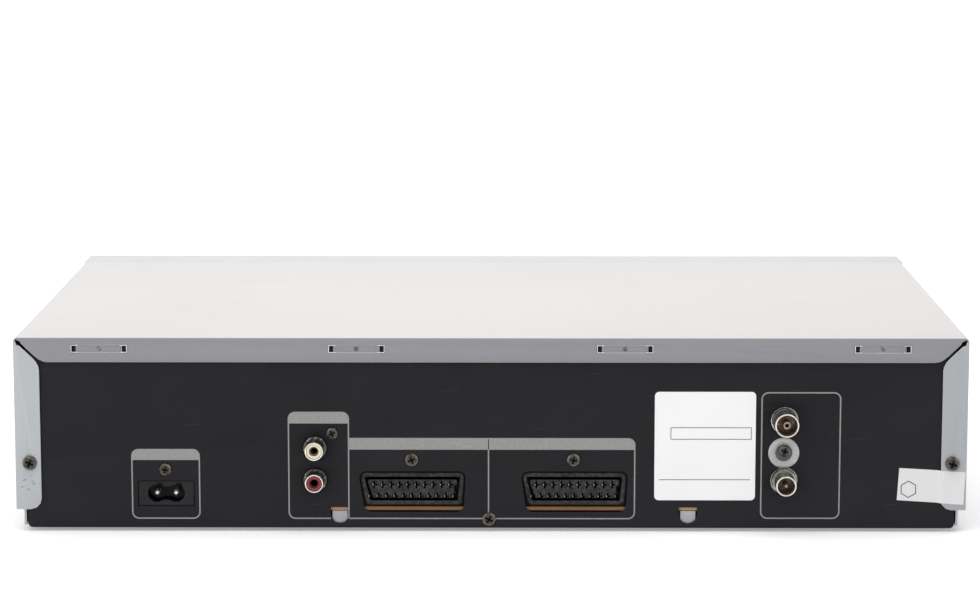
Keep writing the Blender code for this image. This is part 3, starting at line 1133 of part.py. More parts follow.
def make_fascia():
    """Hollow moulded front with sleeves behind the cassette mouth and the jack bay, openings and posts."""
    plastic = surface("fascia_plastic")
    back = FASCIA_BACK_Y
    radius = FASCIA_CORNER_RADIUS

    def plan(inset, rear):
        half = HALF_WIDTH - inset
        corner = radius - inset
        y = FRONT_Y + inset + corner
        left = arc((-half + corner, y), corner, math.pi, 3 * math.pi / 2, CORNER_STEPS)
        right = arc((half - corner, y), corner, 3 * math.pi / 2, 2 * math.pi, CORNER_STEPS)
        return [(-half, rear)] + left + right + [(half, rear)]

    shell = prism(plan(0, back), "Z", FASCIA_Z)
    brow = FASCIA_TOP_ROUND
    brow_arc = arc((FRONT_Y + brow, TOP_Z - brow), brow, math.pi / 2, math.pi, CORNER_STEPS)
    brow_outline = brow_arc + [(FRONT_Y - CUT_OVERRUN, TOP_Z - brow),
                               (FRONT_Y - CUT_OVERRUN, TOP_Z + CUT_OVERRUN),
                               (FRONT_Y + brow, TOP_Z + CUT_OVERRUN)]
    brow_cut = prism(brow_outline, "X", widened((-HALF_WIDTH, HALF_WIDTH), CUT_OVERRUN))
    room = prism(plan(FASCIA_WALL, back + CUT_OVERRUN), "Z", widened(FASCIA_Z, -FASCIA_WALL))
    root_y = WALL_BACK_Y - FASCIA_WALL / 2
    mouth_sleeve = block(widened(MOUTH_X, SLEEVE_WALL), (root_y, FRONT_Y + SLEEVE_DEPTH),
                         widened(MOUTH_Z, SLEEVE_WALL))
    bay_sleeve = block(widened(AV_BAY_X, SLEEVE_WALL), (root_y, FRONT_Y + AV_BAY_DEPTH),
                       widened(AV_BAY_Z, SLEEVE_WALL))
    post_y = (root_y, FRONT_BOARD_Y - SEAT_GAP)
    inset = POST_RADIUS * 2
    posts = [rod((FRONT_BOARD_X[0] + inset, FRONT_STRIP_Z[0] + inset), POST_RADIUS, post_y, "Y", FEW_FACETS),
             rod((FRONT_BOARD_X[1] - inset, FRONT_STRIP_Z[0] + inset), POST_RADIUS, post_y, "Y", FEW_FACETS),
             rod((FRONT_BOARD_X[1] - inset, FRONT_BOARD_TOP_Z - inset), POST_RADIUS, post_y, "Y", FEW_FACETS)]
    front = FRONT_Y - CUT_OVERRUN
    wall = (front, WALL_BACK_Y + CUT_OVERRUN)
    mouth = block(MOUTH_X, (front, FRONT_Y + SLEEVE_DEPTH + CUT_OVERRUN), MOUTH_Z)
    bay = block(AV_BAY_X, (front, FRONT_Y + AV_BAY_DEPTH + CUT_OVERRUN), AV_BAY_Z)
    window = prism(rounded(WINDOW_X, WINDOW_Z, WINDOW_CORNER_RADIUS), "Y", wall)
    keys = [prism(rounded(widened(span(x, KEY_WIDTH), KEY_FIT), widened(span(KEY_Z, KEY_HEIGHT), KEY_FIT),
                          KEY_CORNER_RADIUS), "Y", wall) for x in KEY_X]
    rocker = block(widened(span(ROCKER_X, ROCKER_WIDTH), KEY_FIT), wall,
                   widened(span(KEY_Z, ROCKER_HEIGHT), KEY_FIT))
    power = rod((POWER_X, POWER_Z), POWER_RADIUS + KEY_FIT, wall, "Y")
    groove = block(widened((-HALF_WIDTH, HALF_WIDTH), CUT_OVERRUN), (front, FRONT_Y + FASCIA_GROOVE_DEPTH),
                   span(GROOVE_Z, FASCIA_GROOVE_WIDTH))
    pin_reach = DOOR_PIN_LENGTH - DOOR_SIDE_GAP + RUNNING_GAP
    door_holes = rod((DOOR_PIVOT_Y, DOOR_PIVOT_Z), DOOR_PIN_RADIUS + RUNNING_GAP,
                     widened(MOUTH_X, pin_reach), "X", FEW_FACETS)
    flap_reach = FLAP_PIN_LENGTH - FLAP_FIT + RUNNING_GAP
    flap_holes = rod((FLAP_PIVOT_Y, FLAP_PIVOT_Z), FLAP_PIN_RADIUS + RUNNING_GAP,
                     widened(AV_BAY_X, flap_reach), "X", FEW_FACETS)
    rocker_holes = rod((ROCKER_X, ROCKER_PIVOT_Y), ROCKER_PIN_RADIUS + RUNNING_GAP,
                       widened(span(KEY_Z, ROCKER_HEIGHT), ROCKER_PIN_LENGTH + RUNNING_GAP), "Z", FEW_FACETS)
    piece("front_panel", shell, plastic,
          (CUT, brow_cut), (CUT, room), (JOIN, together(mouth_sleeve, bay_sleeve)), (JOIN, together(*posts)),
          (CUT, together(mouth, bay, window, rocker, power, *keys)), (CUT, groove),
          (CUT, together(door_holes, flap_holes, rocker_holes)))


def make_display_window():
    """Smoked pane with a retaining flange behind the fascia wall."""
    smoked = surface("smoked_pane")
    back = WALL_BACK_Y + WINDOW_THICKNESS
    inner = rounded(widened(WINDOW_X, -SEAT_GAP), widened(WINDOW_Z, -SEAT_GAP), WINDOW_CORNER_RADIUS)
    outer = rounded(widened(WINDOW_X, WINDOW_FLANGE), widened(WINDOW_Z, WINDOW_FLANGE), WINDOW_CORNER_RADIUS)
    pane = prism(inner, "Y", (FRONT_Y + WINDOW_SINK, back))
    flange = prism(outer, "Y", (WALL_BACK_Y + SEAT_GAP, back))
    piece("display_window", pane, smoked, (JOIN, flange))


def make_cassette_door():
    """Sprung flap in the mouth: plate with a hinge barrel, end pins and stiffening ribs at its back."""
    plastic = surface("door_plastic")
    x = widened(MOUTH_X, -DOOR_SIDE_GAP)
    z = widened(MOUTH_Z, -DOOR_EDGE_GAP)
    plate = block(x, (DOOR_FACE_Y, DOOR_PIVOT_Y), z)
    barrel = rod((DOOR_PIVOT_Y, DOOR_PIVOT_Z), DOOR_BARREL_RADIUS, x, "X", FEW_FACETS)
    pins = rod((DOOR_PIVOT_Y, DOOR_PIVOT_Z), DOOR_PIN_RADIUS, widened(x, DOOR_PIN_LENGTH), "X", FEW_FACETS)
    ribs = [block(span(x[0] + (x[1] - x[0]) * (index + 1) / (DOOR_RIB_COUNT + 1), DOOR_RIB_WIDTH),
                  (DOOR_PIVOT_Y - DOOR_THICKNESS / 2, DOOR_PIVOT_Y + DOOR_RIB_HEIGHT),
                  (z[0] + DOOR_THICKNESS, DOOR_PIVOT_Z - DOOR_THICKNESS)) for index in range(DOOR_RIB_COUNT)]
    piece("cassette_door", plate, plastic, (JOIN, barrel), (JOIN, pins), (JOIN, together(*ribs)),
          origin=(BAY_X, DOOR_PIVOT_Y, DOOR_PIVOT_Z))


def make_av_flap():
    """Fold-down flap over the front jacks, on two end pins near its lower edge, with a finger scoop."""
    plastic = surface("door_plastic")
    x = widened(AV_BAY_X, -FLAP_FIT)
    face = FRONT_Y + FLAP_SINK
    plate = block(x, (face, face + FLAP_THICKNESS), FLAP_Z)
    pins = rod((FLAP_PIVOT_Y, FLAP_PIVOT_Z), FLAP_PIN_RADIUS, widened(x, FLAP_PIN_LENGTH), "X", FEW_FACETS)
    scoop_y = (face - CUT_OVERRUN, face + FLAP_THICKNESS / 2)
    scoop = rod((sum(x) / 2, FLAP_Z[1]), FLAP_SCOOP_RADIUS, scoop_y, "Y")
    piece("av_flap", plate, plastic, (JOIN, pins), (CUT, scoop), origin=(x[0], FLAP_PIVOT_Y, FLAP_PIVOT_Z))


def make_front_jacks():
    """Moulded block of three phono jacks at the back of the flap's bay."""
    black = surface("black_moulding")
    back = FRONT_Y + AV_BAY_DEPTH
    face = back - JACK_BLOCK_DEPTH
    body = block(widened(AV_BAY_X, -SEAT_GAP), (face, back), widened(AV_BAY_Z, -SEAT_GAP))
    middle = (sum(AV_BAY_X) / 2, sum(AV_BAY_Z) / 2)
    places = [(middle[0] + side * JACK_PITCH_SHARE * AV_BAY_WIDTH, middle[1]) for side in (-1, 0, 1)]
    noses = [rod(place, JACK_RADIUS, (face - JACK_REACH, face + JACK_REACH), "Y") for place in places]
    bores = [rod(place, JACK_BORE, (face - JACK_REACH - CUT_OVERRUN, face + JACK_REACH), "Y", FEW_FACETS)
             for place in places]
    piece("front_jack_block", body, black, (JOIN, together(*noses)), (CUT, together(*bores)))


def make_keys():
    """Six transport keys and the power button: dished cap, retaining flange and stem."""
    plastic = surface("key_plastic")
    flange_y = (WALL_BACK_Y + SEAT_GAP, WALL_BACK_Y + SEAT_GAP + KEY_FLANGE)
    cap_y = (FRONT_Y - KEY_PROUD, flange_y[1])
    stem_y = (flange_y[0], FRONT_BOARD_Y - KEY_TRAVEL - SEAT_GAP * 2)
    for name, x in zip(KEY_NAMES, KEY_X):
        size_x = span(x, KEY_WIDTH)
        size_z = span(KEY_Z, KEY_HEIGHT)
        cap = prism(rounded(size_x, size_z, KEY_CORNER_RADIUS), "Y", cap_y)
        flange = block(widened(size_x, KEY_FLANGE_WIDTH), flange_y, widened(size_z, KEY_FLANGE_WIDTH))
        stem = rod((x, KEY_Z), KEY_STEM_RADIUS, stem_y, "Y", FEW_FACETS)
        dish_outline = rounded(widened(size_x, -KEY_CORNER_RADIUS), widened(size_z, -KEY_CORNER_RADIUS),
                               KEY_CORNER_RADIUS / 2)
        dish = prism(dish_outline, "Y", (cap_y[0] - CUT_OVERRUN, cap_y[0] + KEY_DISH))
        piece(name, cap, plastic, (JOIN, flange), (JOIN, stem), (CUT, dish), origin=(x, FRONT_Y, KEY_Z))
    rim = POWER_RADIUS + KEY_FIT + KEY_FLANGE_WIDTH
    dish_radius = POWER_RADIUS - KEY_CORNER_RADIUS
    stem_end = FASCIA_BACK_Y - KEY_TRAVEL - SEAT_GAP
    profile = [(0, cap_y[0] + KEY_DISH), (dish_radius, cap_y[0]), (POWER_RADIUS - KEY_DISH, cap_y[0]),
               (POWER_RADIUS, cap_y[0] + KEY_DISH), (POWER_RADIUS, flange_y[0]), (rim, flange_y[0]),
               (rim, flange_y[1]), (KEY_STEM_RADIUS, flange_y[1]), (KEY_STEM_RADIUS, stem_end), (0, stem_end)]
    piece("power_button", turned(profile, SOME_FACETS, (POWER_X, POWER_Z), "Y"), plastic,
          origin=(POWER_X, FRONT_Y, POWER_Z))


def make_rocker():
    """Channel rocker that tilts on two upright pins in the edges of its opening."""
    plastic = surface("key_plastic")
    x = span(ROCKER_X, ROCKER_WIDTH)
    z = span(KEY_Z, ROCKER_HEIGHT)
    face = FRONT_Y - KEY_PROUD
    outline = [(x[0], face), (x[0], WALL_BACK_Y), (x[1], WALL_BACK_Y), (x[1], face),
               (ROCKER_X + KEY_PROUD, face + KEY_DISH), (ROCKER_X - KEY_PROUD, face + KEY_DISH)]
    pins = rod((ROCKER_X, ROCKER_PIVOT_Y), ROCKER_PIN_RADIUS, widened(z, ROCKER_PIN_LENGTH), "Z", FEW_FACETS)
    piece("channel_rocker", prism(outline, "Z", z), plastic, (JOIN, pins),
          origin=(ROCKER_X, ROCKER_PIVOT_Y, KEY_Z))


def make_deck():
    """Deck sheet on four folded legs, with reel posts, guide slots and clearance holes."""
    plating = surface("plated_steel")
    x = span(BAY_X, DECK_HALF * 2)
    y = (DECK_FRONT_Y, DECK_REAR_Y)
    z = (DECK_Z, DECK_TOP_Z)
    sheet = block(x, y, z)
    legs = []
    for foot_x in ((x[0], x[0] + DECK_SHEET), (x[1] - DECK_SHEET, x[1])):
        for foot_y in ((y[0], y[0] + DECK_LEG_WIDTH), (y[1] - DECK_LEG_WIDTH, y[1])):
            legs.append(block(foot_x, foot_y, (TRAY_TOP_Z + SEAT_GAP, DECK_TOP_Z)))
    reel_post_z = (DECK_Z, DECK_TOP_Z + REEL_POST_HEIGHT)
    posts = [rod((reel_x, REEL_Y), REEL_POST_RADIUS, reel_post_z, facets=FEW_FACETS)
             for reel_x in REEL_X.values()]
    posts.append(rod(IDLER, REEL_POST_RADIUS, (DECK_Z, DECK_TOP_Z + IDLER_POST_HEIGHT), facets=FEW_FACETS))
    posts.append(rod(CAM, REEL_POST_RADIUS, (DECK_Z, DECK_TOP_Z + LOADING_FACE), facets=FEW_FACETS))
    posts.append(rod(PINCH_PIVOT, ARM_POST_RADIUS, (DECK_Z, DECK_TOP_Z + ARM_LIFT + ARM_SHEET * 2),
                     facets=FEW_FACETS))
    through = widened(z, CUT_OVERRUN)
    holes = [rod(CAPSTAN, BEARING_RADIUS + RUNNING_GAP, through, facets=SOME_FACETS),
             rod(LOADING, MOTOR_SHAFT_RADIUS + RUNNING_GAP, through, facets=FEW_FACETS)]
    slots = [guide_arc(side, GUIDE_SLOT / 2, through, GUIDE_ARC / 2, GUIDE_ARC / 2)
             for side in GUIDE_SIDES.values()]
    piece("deck_plate", sheet, plating, (JOIN, together(*legs)), (JOIN, together(*posts)),
          (CUT, together(*holes, *slots)))


def guide_arc(side, half_width, z, before, after):
    """A curved bar on a guide's path round the drum, from its rest place to its far place."""
    start = -math.pi / 2 + side * (GUIDE_REST_ANGLE - before)
    end = -math.pi / 2 + side * (GUIDE_REST_ANGLE + GUIDE_SWING + after)
    middle = (BAY_X, DRUM_Y)
    outer = arc(middle, GUIDE_PATH_RADIUS + half_width, start, end, GUIDE_SLOT_STEPS)
    inner = arc(middle, GUIDE_PATH_RADIUS - half_width, end, start, GUIDE_SLOT_STEPS)
    return prism(outer + inner, "Z", z)


def shoe(turn, half_width, half_angle, z):
    """A short curved bar on the guides' path, centred at a turn round the drum."""
    middle = (BAY_X, DRUM_Y)
    start, end = turn - half_angle, turn + half_angle
    outer = arc(middle, GUIDE_PATH_RADIUS + half_width, start, end, CORNER_STEPS)
    inner = arc(middle, GUIDE_PATH_RADIUS - half_width, end, start, CORNER_STEPS)
    return prism(outer + inner, "Z", z)


def make_guides():
    """Two guide bases that ride round the drum: curved shoe, tongue in the slot and flanged post."""
    brass = surface("guide_brass")
    low = DECK_SEAT_Z
    half_angle = GUIDE_ARC / 2 - GUIDE_END_GAP
    waist = low + GUIDE_BASE_HEIGHT / 2
    flange = low + GUIDE_POST_HEIGHT / 3
    top = low + GUIDE_POST_HEIGHT
    rim = GUIDE_POST_RADIUS + GUIDE_RIM
    profile = [(0, waist), (GUIDE_POST_RADIUS, waist), (GUIDE_POST_RADIUS, flange), (rim, flange),
               (rim, flange + GUIDE_RIM), (GUIDE_POST_RADIUS, flange + GUIDE_RIM),
               (GUIDE_POST_RADIUS, top - GUIDE_RIM), (rim, top - GUIDE_RIM), (rim, top), (0, top)]
    for name, side in GUIDE_SIDES.items():
        turn = -math.pi / 2 + side * GUIDE_REST_ANGLE
        base = shoe(turn, GUIDE_BASE_HALF, half_angle, (low, low + GUIDE_BASE_HEIGHT))
        tongue = shoe(turn, GUIDE_SLOT / 2 - RUNNING_GAP, half_angle / 2, (DECK_Z - GUIDE_TONGUE, waist))
        place = (BAY_X + GUIDE_PATH_RADIUS * math.cos(turn), DRUM_Y + GUIDE_PATH_RADIUS * math.sin(turn))
        post = turned(profile, FEW_FACETS, place)
        piece(name, base, brass, (JOIN, tongue), (JOIN, post), origin=(BAY_X, DRUM_Y, low))


def make_drum():
    """The leaning head drum: fixed lower half on its foot, and the turning upper half on its shaft."""
    cast = surface("drum_alloy")
    lean = Matrix.Translation((BAY_X, DRUM_Y, DRUM_Z)) @ Matrix.Rotation(-DRUM_TILT, 4, "Y")
    half = LOWER_DRUM_HEIGHT / 2
    bore = DRUM_SHAFT_RADIUS + RUNNING_GAP
    ledge = DRUM_RADIUS + DRUM_LEDGE
    lower = turned([(0, -half), (ledge, -half), (ledge, half - DRUM_LEDGE_DROP),
                    (DRUM_RADIUS, half - DRUM_LEDGE_DROP), (DRUM_RADIUS, half), (0, half)], MANY_FACETS)
    foot = rod((BAY_X, DRUM_Y), DRUM_FOOT_RADIUS, (DECK_SEAT_Z, DRUM_Z), facets=MANY_FACETS)
    bore_cut = placed(rod((0, 0), bore, (-half, half + CUT_OVERRUN), facets=SOME_FACETS), lean)
    piece("lower_drum", placed(lower, lean), cast, (JOIN, foot), (CUT, bore_cut))
    base = half + DRUM_GAP
    top = base + UPPER_DRUM_HEIGHT
    recess = top - DRUM_RECESS_DEPTH
    upper = turned([(0, -half / 2), (DRUM_SHAFT_RADIUS, -half / 2), (DRUM_SHAFT_RADIUS, base),
                    (DRUM_RADIUS, base), (DRUM_RADIUS, top), (DRUM_RECESS_RADIUS, top),
                    (DRUM_RECESS_RADIUS, recess), (DRUM_HUB_RADIUS, recess), (DRUM_HUB_RADIUS, top),
                    (0, top)],
                   MANY_FACETS)
    piece("upper_drum", placed(upper, lean), cast, origin=(BAY_X, DRUM_Y, DRUM_Z))


def make_capstan():
    """Capstan shaft with its flywheel below the deck, and the motor plate that carries its bearing."""
    steel = surface("ground_steel")
    alloy = surface("motor_alloy")
    stator_z = (DECK_Z - SEAT_GAP - STATOR_HEIGHT, DECK_Z - SEAT_GAP)
    bearing_top = DECK_TOP_Z + BEARING_RISE
    bore = CAPSTAN_RADIUS + RUNNING_GAP
    motor = turned([(bore, stator_z[0]), (STATOR_RADIUS, stator_z[0]), (STATOR_RADIUS, stator_z[1]),
                    (BEARING_RADIUS, stator_z[1]), (BEARING_RADIUS, bearing_top), (bore, bearing_top)],
                   SOME_FACETS, CAPSTAN)
    piece("capstan_motor", motor, alloy)
    wheel_top = stator_z[0] - STATOR_FLYWHEEL_GAP
    wheel_bottom = wheel_top - FLYWHEEL_HEIGHT
    web = wheel_bottom + FLYWHEEL_HEIGHT * FLYWHEEL_WEB_SHARE
    rim = FLYWHEEL_RADIUS - FLYWHEEL_RIM
    hub = BEARING_RADIUS
    wheel = turned([(0, wheel_bottom), (hub, wheel_bottom), (hub, web), (rim, web), (rim, wheel_bottom),
                    (FLYWHEEL_RADIUS, wheel_bottom), (FLYWHEEL_RADIUS, wheel_top),
                    (CAPSTAN_RADIUS, wheel_top),
                    (CAPSTAN_RADIUS, DECK_TOP_Z + CAPSTAN_TOP), (0, DECK_TOP_Z + CAPSTAN_TOP)], SOCKET_FACETS,
                   CAPSTAN)
    piece("capstan_flywheel", wheel, steel, origin=(*CAPSTAN, wheel_bottom))


def roller_place():
    """Where the pinch roller stands with its arm open."""
    reach = CAPSTAN_RADIUS + ROLLER_RADIUS + SEAT_GAP
    closed = Vector(CAPSTAN) + reach * Vector((math.cos(ROLLER_DIRECTION), math.sin(ROLLER_DIRECTION)))
    pivot = Vector(PINCH_PIVOT)
    arm = closed - pivot
    cos, sin = math.cos(PINCH_SWING), math.sin(PINCH_SWING)
    return (pivot.x + arm.x * cos - arm.y * sin, pivot.y + arm.x * sin + arm.y * cos)


def make_pinch_arm():
    """Pinch arm on its deck post, with the roller's pin, and the rubber roller on that pin."""
    plating = surface("plated_steel")
    rubber = surface("roller_rubber")
    roller = roller_place()
    low = DECK_TOP_Z + ARM_LIFT
    high = low + ARM_SHEET
    along = Vector(roller) - Vector(PINCH_PIVOT)
    heading = math.atan2(along.y, along.x)
    half = ARM_WIDTH / 2
    outline = arc(roller, half, heading - math.pi / 2, heading + math.pi / 2, CORNER_STEPS * 2)
    outline += arc(PINCH_PIVOT, half, heading + math.pi / 2, heading + 3 * math.pi / 2, CORNER_STEPS * 2)
    bore = ARM_POST_RADIUS + RUNNING_GAP
    arm = prism(outline, "Z", (low, high))
    hub = rod(PINCH_PIVOT, ARM_HUB_RADIUS, (DECK_SEAT_Z, high + ARM_SHEET), facets=SOME_FACETS)
    roller_base = DECK_TOP_Z + ROLLER_LIFT
    roller_top = roller_base + ROLLER_HEIGHT
    shoulder = roller_base - SEAT_GAP
    pin = turned([(0, low), (ROLLER_PIN_RADIUS * 2, low), (ROLLER_PIN_RADIUS * 2, shoulder),
                  (ROLLER_PIN_RADIUS, shoulder), (ROLLER_PIN_RADIUS, roller_top), (0, roller_top)],
                 FEW_FACETS, roller)
    hole = rod(PINCH_PIVOT, bore, (DECK_TOP_Z, high + ARM_SHEET + CUT_OVERRUN), facets=FEW_FACETS)
    piece("pinch_arm", arm, plating, (JOIN, hub), (JOIN, pin), (CUT, hole), origin=(*PINCH_PIVOT, low))
    inner = ROLLER_PIN_RADIUS + RUNNING_GAP
    tyre = turned([(inner, roller_base), (ROLLER_RADIUS, roller_base), (ROLLER_RADIUS, roller_top),
                   (inner, roller_top)], SOME_FACETS, roller)
    piece("pinch_roller", tyre, rubber, origin=(*roller, roller_base))


def make_reels():
    """Supply and take-up reel tables with finned spindles, and the rubber-tyred idler between them."""
    nylon = surface("reel_nylon")
    rubber = surface("roller_rubber")
    bore = REEL_POST_RADIUS + RUNNING_GAP
    low = DECK_SEAT_Z
    table = low + REEL_TABLE_LIFT
    hub_top = table + REEL_TABLE + REEL_HUB_HEIGHT
    top = hub_top + REEL_SPINDLE_HEIGHT
    for name, x in REEL_X.items():
        place = (x, REEL_Y)
        body = turned([(bore, low), (REEL_HUB_RADIUS, low), (REEL_HUB_RADIUS, table), (REEL_RADIUS, table),
                       (REEL_RADIUS, table + REEL_TABLE), (REEL_HUB_RADIUS, table + REEL_TABLE),
                       (REEL_HUB_RADIUS, hub_top), (REEL_SPINDLE_RADIUS, hub_top),
                       (REEL_SPINDLE_RADIUS, top - REEL_FIN_WIDTH), (bore + REEL_FIN_WIDTH, top),
                       (bore, top)],
                      SOME_FACETS, place)
        fins = []
        for index in range(REEL_FIN_COUNT):
            turn = Matrix.Rotation(2 * math.pi * index / REEL_FIN_COUNT, 4, "Z")
            fin = block((REEL_SPINDLE_RADIUS - REEL_FIN_WIDTH / 2, REEL_SPINDLE_RADIUS + REEL_FIN_REACH),
                        span(0, REEL_FIN_WIDTH), (hub_top - REEL_FIN_WIDTH, top - REEL_FIN_REACH))
            fins.append(placed(fin, Matrix.Translation((x, REEL_Y, 0)) @ turn))
        piece(name, body, nylon, (JOIN, together(*fins)), origin=(x, REEL_Y, low))
    hub = REEL_POST_RADIUS * 2
    rim_top = table + IDLER_WIDTH
    hub_end = rim_top + IDLER_WIDTH
    wheel = turned([(bore, low), (hub, low), (hub, table), (IDLER_RADIUS, table), (IDLER_RADIUS, rim_top),
                    (hub, rim_top), (hub, hub_end), (bore, hub_end)], SOME_FACETS, IDLER)
    piece("idler_wheel", wheel, rubber, origin=(*IDLER, low))


def make_loading_drive():
    """Loading motor under the deck, its pinion above, and the cam gear that it turns."""
    alloy = surface("motor_alloy")
    nylon = surface("reel_nylon")
    motor_top = DECK_Z - SEAT_GAP
    motor_bottom = motor_top - MOTOR_HEIGHT
    shaft = MOTOR_SHAFT_RADIUS
    z = (DECK_SEAT_Z, DECK_SEAT_Z + LOADING_FACE)
    through = widened(z, CUT_OVERRUN)
    body = turned([(0, motor_bottom), (MOTOR_RADIUS - shaft, motor_bottom),
                   (MOTOR_RADIUS, motor_bottom + shaft),
                   (MOTOR_RADIUS, motor_top), (shaft, motor_top), (shaft, z[1]), (0, z[1])],
                  SOME_FACETS, LOADING)
    piece("loading_motor", body, alloy)
    cam = prism(gear_outline(CAM, CAM_TEETH, LOADING_MODULE, TOOTH_BACKLASH, LOADING_DIRECTION), "Z", z)
    hub = rod(CAM, CAM_HUB_RADIUS, (z[0] + LOADING_FACE / 2, z[1] + CAM_HUB_HEIGHT), facets=SOME_FACETS)
    cam_bore = rod(CAM, REEL_POST_RADIUS + RUNNING_GAP,
                   (z[0] - CUT_OVERRUN, z[1] + CAM_HUB_HEIGHT + CUT_OVERRUN), facets=FEW_FACETS)
    track_floor = z[1] - CAM_TRACK_DEPTH
    track_outer = CAM_TRACK_RADIUS + CAM_TRACK_WIDTH
    track = turned([(CAM_TRACK_RADIUS, track_floor), (track_outer, track_floor), (track_outer, through[1]),
                    (CAM_TRACK_RADIUS, through[1])], SOME_FACETS, (CAM[0] + CAM_TRACK_SHIFT, CAM[1]))
    piece("cam_gear", cam, nylon, (JOIN, hub), (CUT, together(cam_bore, track)), origin=(*CAM, z[0]))
    tooth_turn = LOADING_DIRECTION + math.pi + math.pi / LOADING_TEETH
    pinion = prism(gear_outline(LOADING, LOADING_TEETH, LOADING_MODULE, TOOTH_BACKLASH, tooth_turn), "Z", z)
    bore = rod(LOADING, MOTOR_SHAFT_RADIUS + RUNNING_GAP, through, facets=FEW_FACETS)
    piece("loading_pinion", pinion, nylon, (CUT, bore), origin=(*LOADING, z[0]))


def make_heads():
    """Full-erase head and audio and control head: a housing with a round nose on a stand."""
    steel = surface("head_steel")
    for name, offset in (("full_erase_head", ERASE_OFFSET), ("audio_control_head", AUDIO_HEAD_OFFSET)):
        x, y = BAY_X + offset[0], DRUM_Y + offset[1]
        low = DECK_SEAT_Z + HEAD_STAND_HEIGHT
        body = block(span(x, HEAD_WIDTH), span(y, HEAD_DEPTH), (low, low + HEAD_HEIGHT))
        nose_z = widened((low, low + HEAD_HEIGHT), -HEAD_NOSE_RADIUS / 2)
        nose = rod((x, y - HEAD_DEPTH / 2), HEAD_NOSE_RADIUS, nose_z, facets=FEW_FACETS)
        radius = HEAD_STAND_RADIUS
        collar = DECK_SEAT_Z + radius
        stand = turned([(0, DECK_SEAT_Z), (radius * 2, DECK_SEAT_Z), (radius * 2, collar), (radius, collar),
                        (radius, low + radius), (0, low + radius)], FEW_FACETS, (x, y))
        piece(name, body, steel, (JOIN, nose), (JOIN, stand))


def make_housing():
    """Lift housing: two side plates with stepped slots, feet, a slider rail and a bridge across the top."""
    plating = surface("plated_steel")
    plate_z = (PLATE_BOTTOM_Z, PLATE_TOP_Z)
    left = block((BAY_X - PLATE_OUT, BAY_X - PLATE_IN), PLATE_Y, plate_z)
    right = block((BAY_X + PLATE_IN, BAY_X + PLATE_OUT), PLATE_Y, plate_z)
    root = PLATE_OUT - SIDE_PLATE_SHEET / 2
    foot_end = PLATE_OUT + SIDE_PLATE_FOOT
    foot_z = (PLATE_BOTTOM_Z, PLATE_BOTTOM_Z + SIDE_PLATE_SHEET)
    feet = [block((BAY_X - foot_end, BAY_X - root), PLATE_Y, foot_z),
            block((BAY_X + root, BAY_X + foot_end), PLATE_Y, foot_z)]
    rail_top = SLIDER_BOTTOM_Z - SLIDER_GAP
    rail = block((BAY_X + root, BAY_X + PLATE_OUT + RAIL_REACH), PLATE_Y, (rail_top - RAIL_HEIGHT, rail_top))
    bridge = block((BAY_X - PLATE_OUT, BAY_X + PLATE_OUT), (HOLDER_Y[0], HOLDER_Y[0] + BRIDGE_WIDTH),
                   (PLATE_TOP_Z - SIDE_PLATE_SHEET, PLATE_TOP_Z))
    wide = (BAY_X - PLATE_OUT - CUT_OVERRUN, BAY_X + PLATE_OUT + CUT_OVERRUN)
    level = block(wide, (HOLDER_PIN_Y[0] - CARRIAGE_TRAVEL - SLOT_HALF, HOLDER_PIN_Y[1] + SLOT_HALF),
                  span(HOLDER_PIN_Z, SLOT_HALF * 2))
    drops = [block(wide, span(y, SLOT_HALF * 2), (HOLDER_PIN_Z - LIFT_TRAVEL - SLOT_HALF, HOLDER_PIN_Z))
             for y in HOLDER_PIN_Y]
    axle = rod((DRIVE_Y, DRIVE_Z), DRIVE_AXLE_RADIUS + RUNNING_GAP,
               (BAY_X + PLATE_IN - CUT_OVERRUN, BAY_X + PLATE_OUT + CUT_OVERRUN), "X", FEW_FACETS)
    piece("cassette_housing", left, plating, (JOIN, together(bridge, *feet)), (JOIN, right), (JOIN, rail),
          (CUT, level), (CUT, together(*drops)), (CUT, axle))


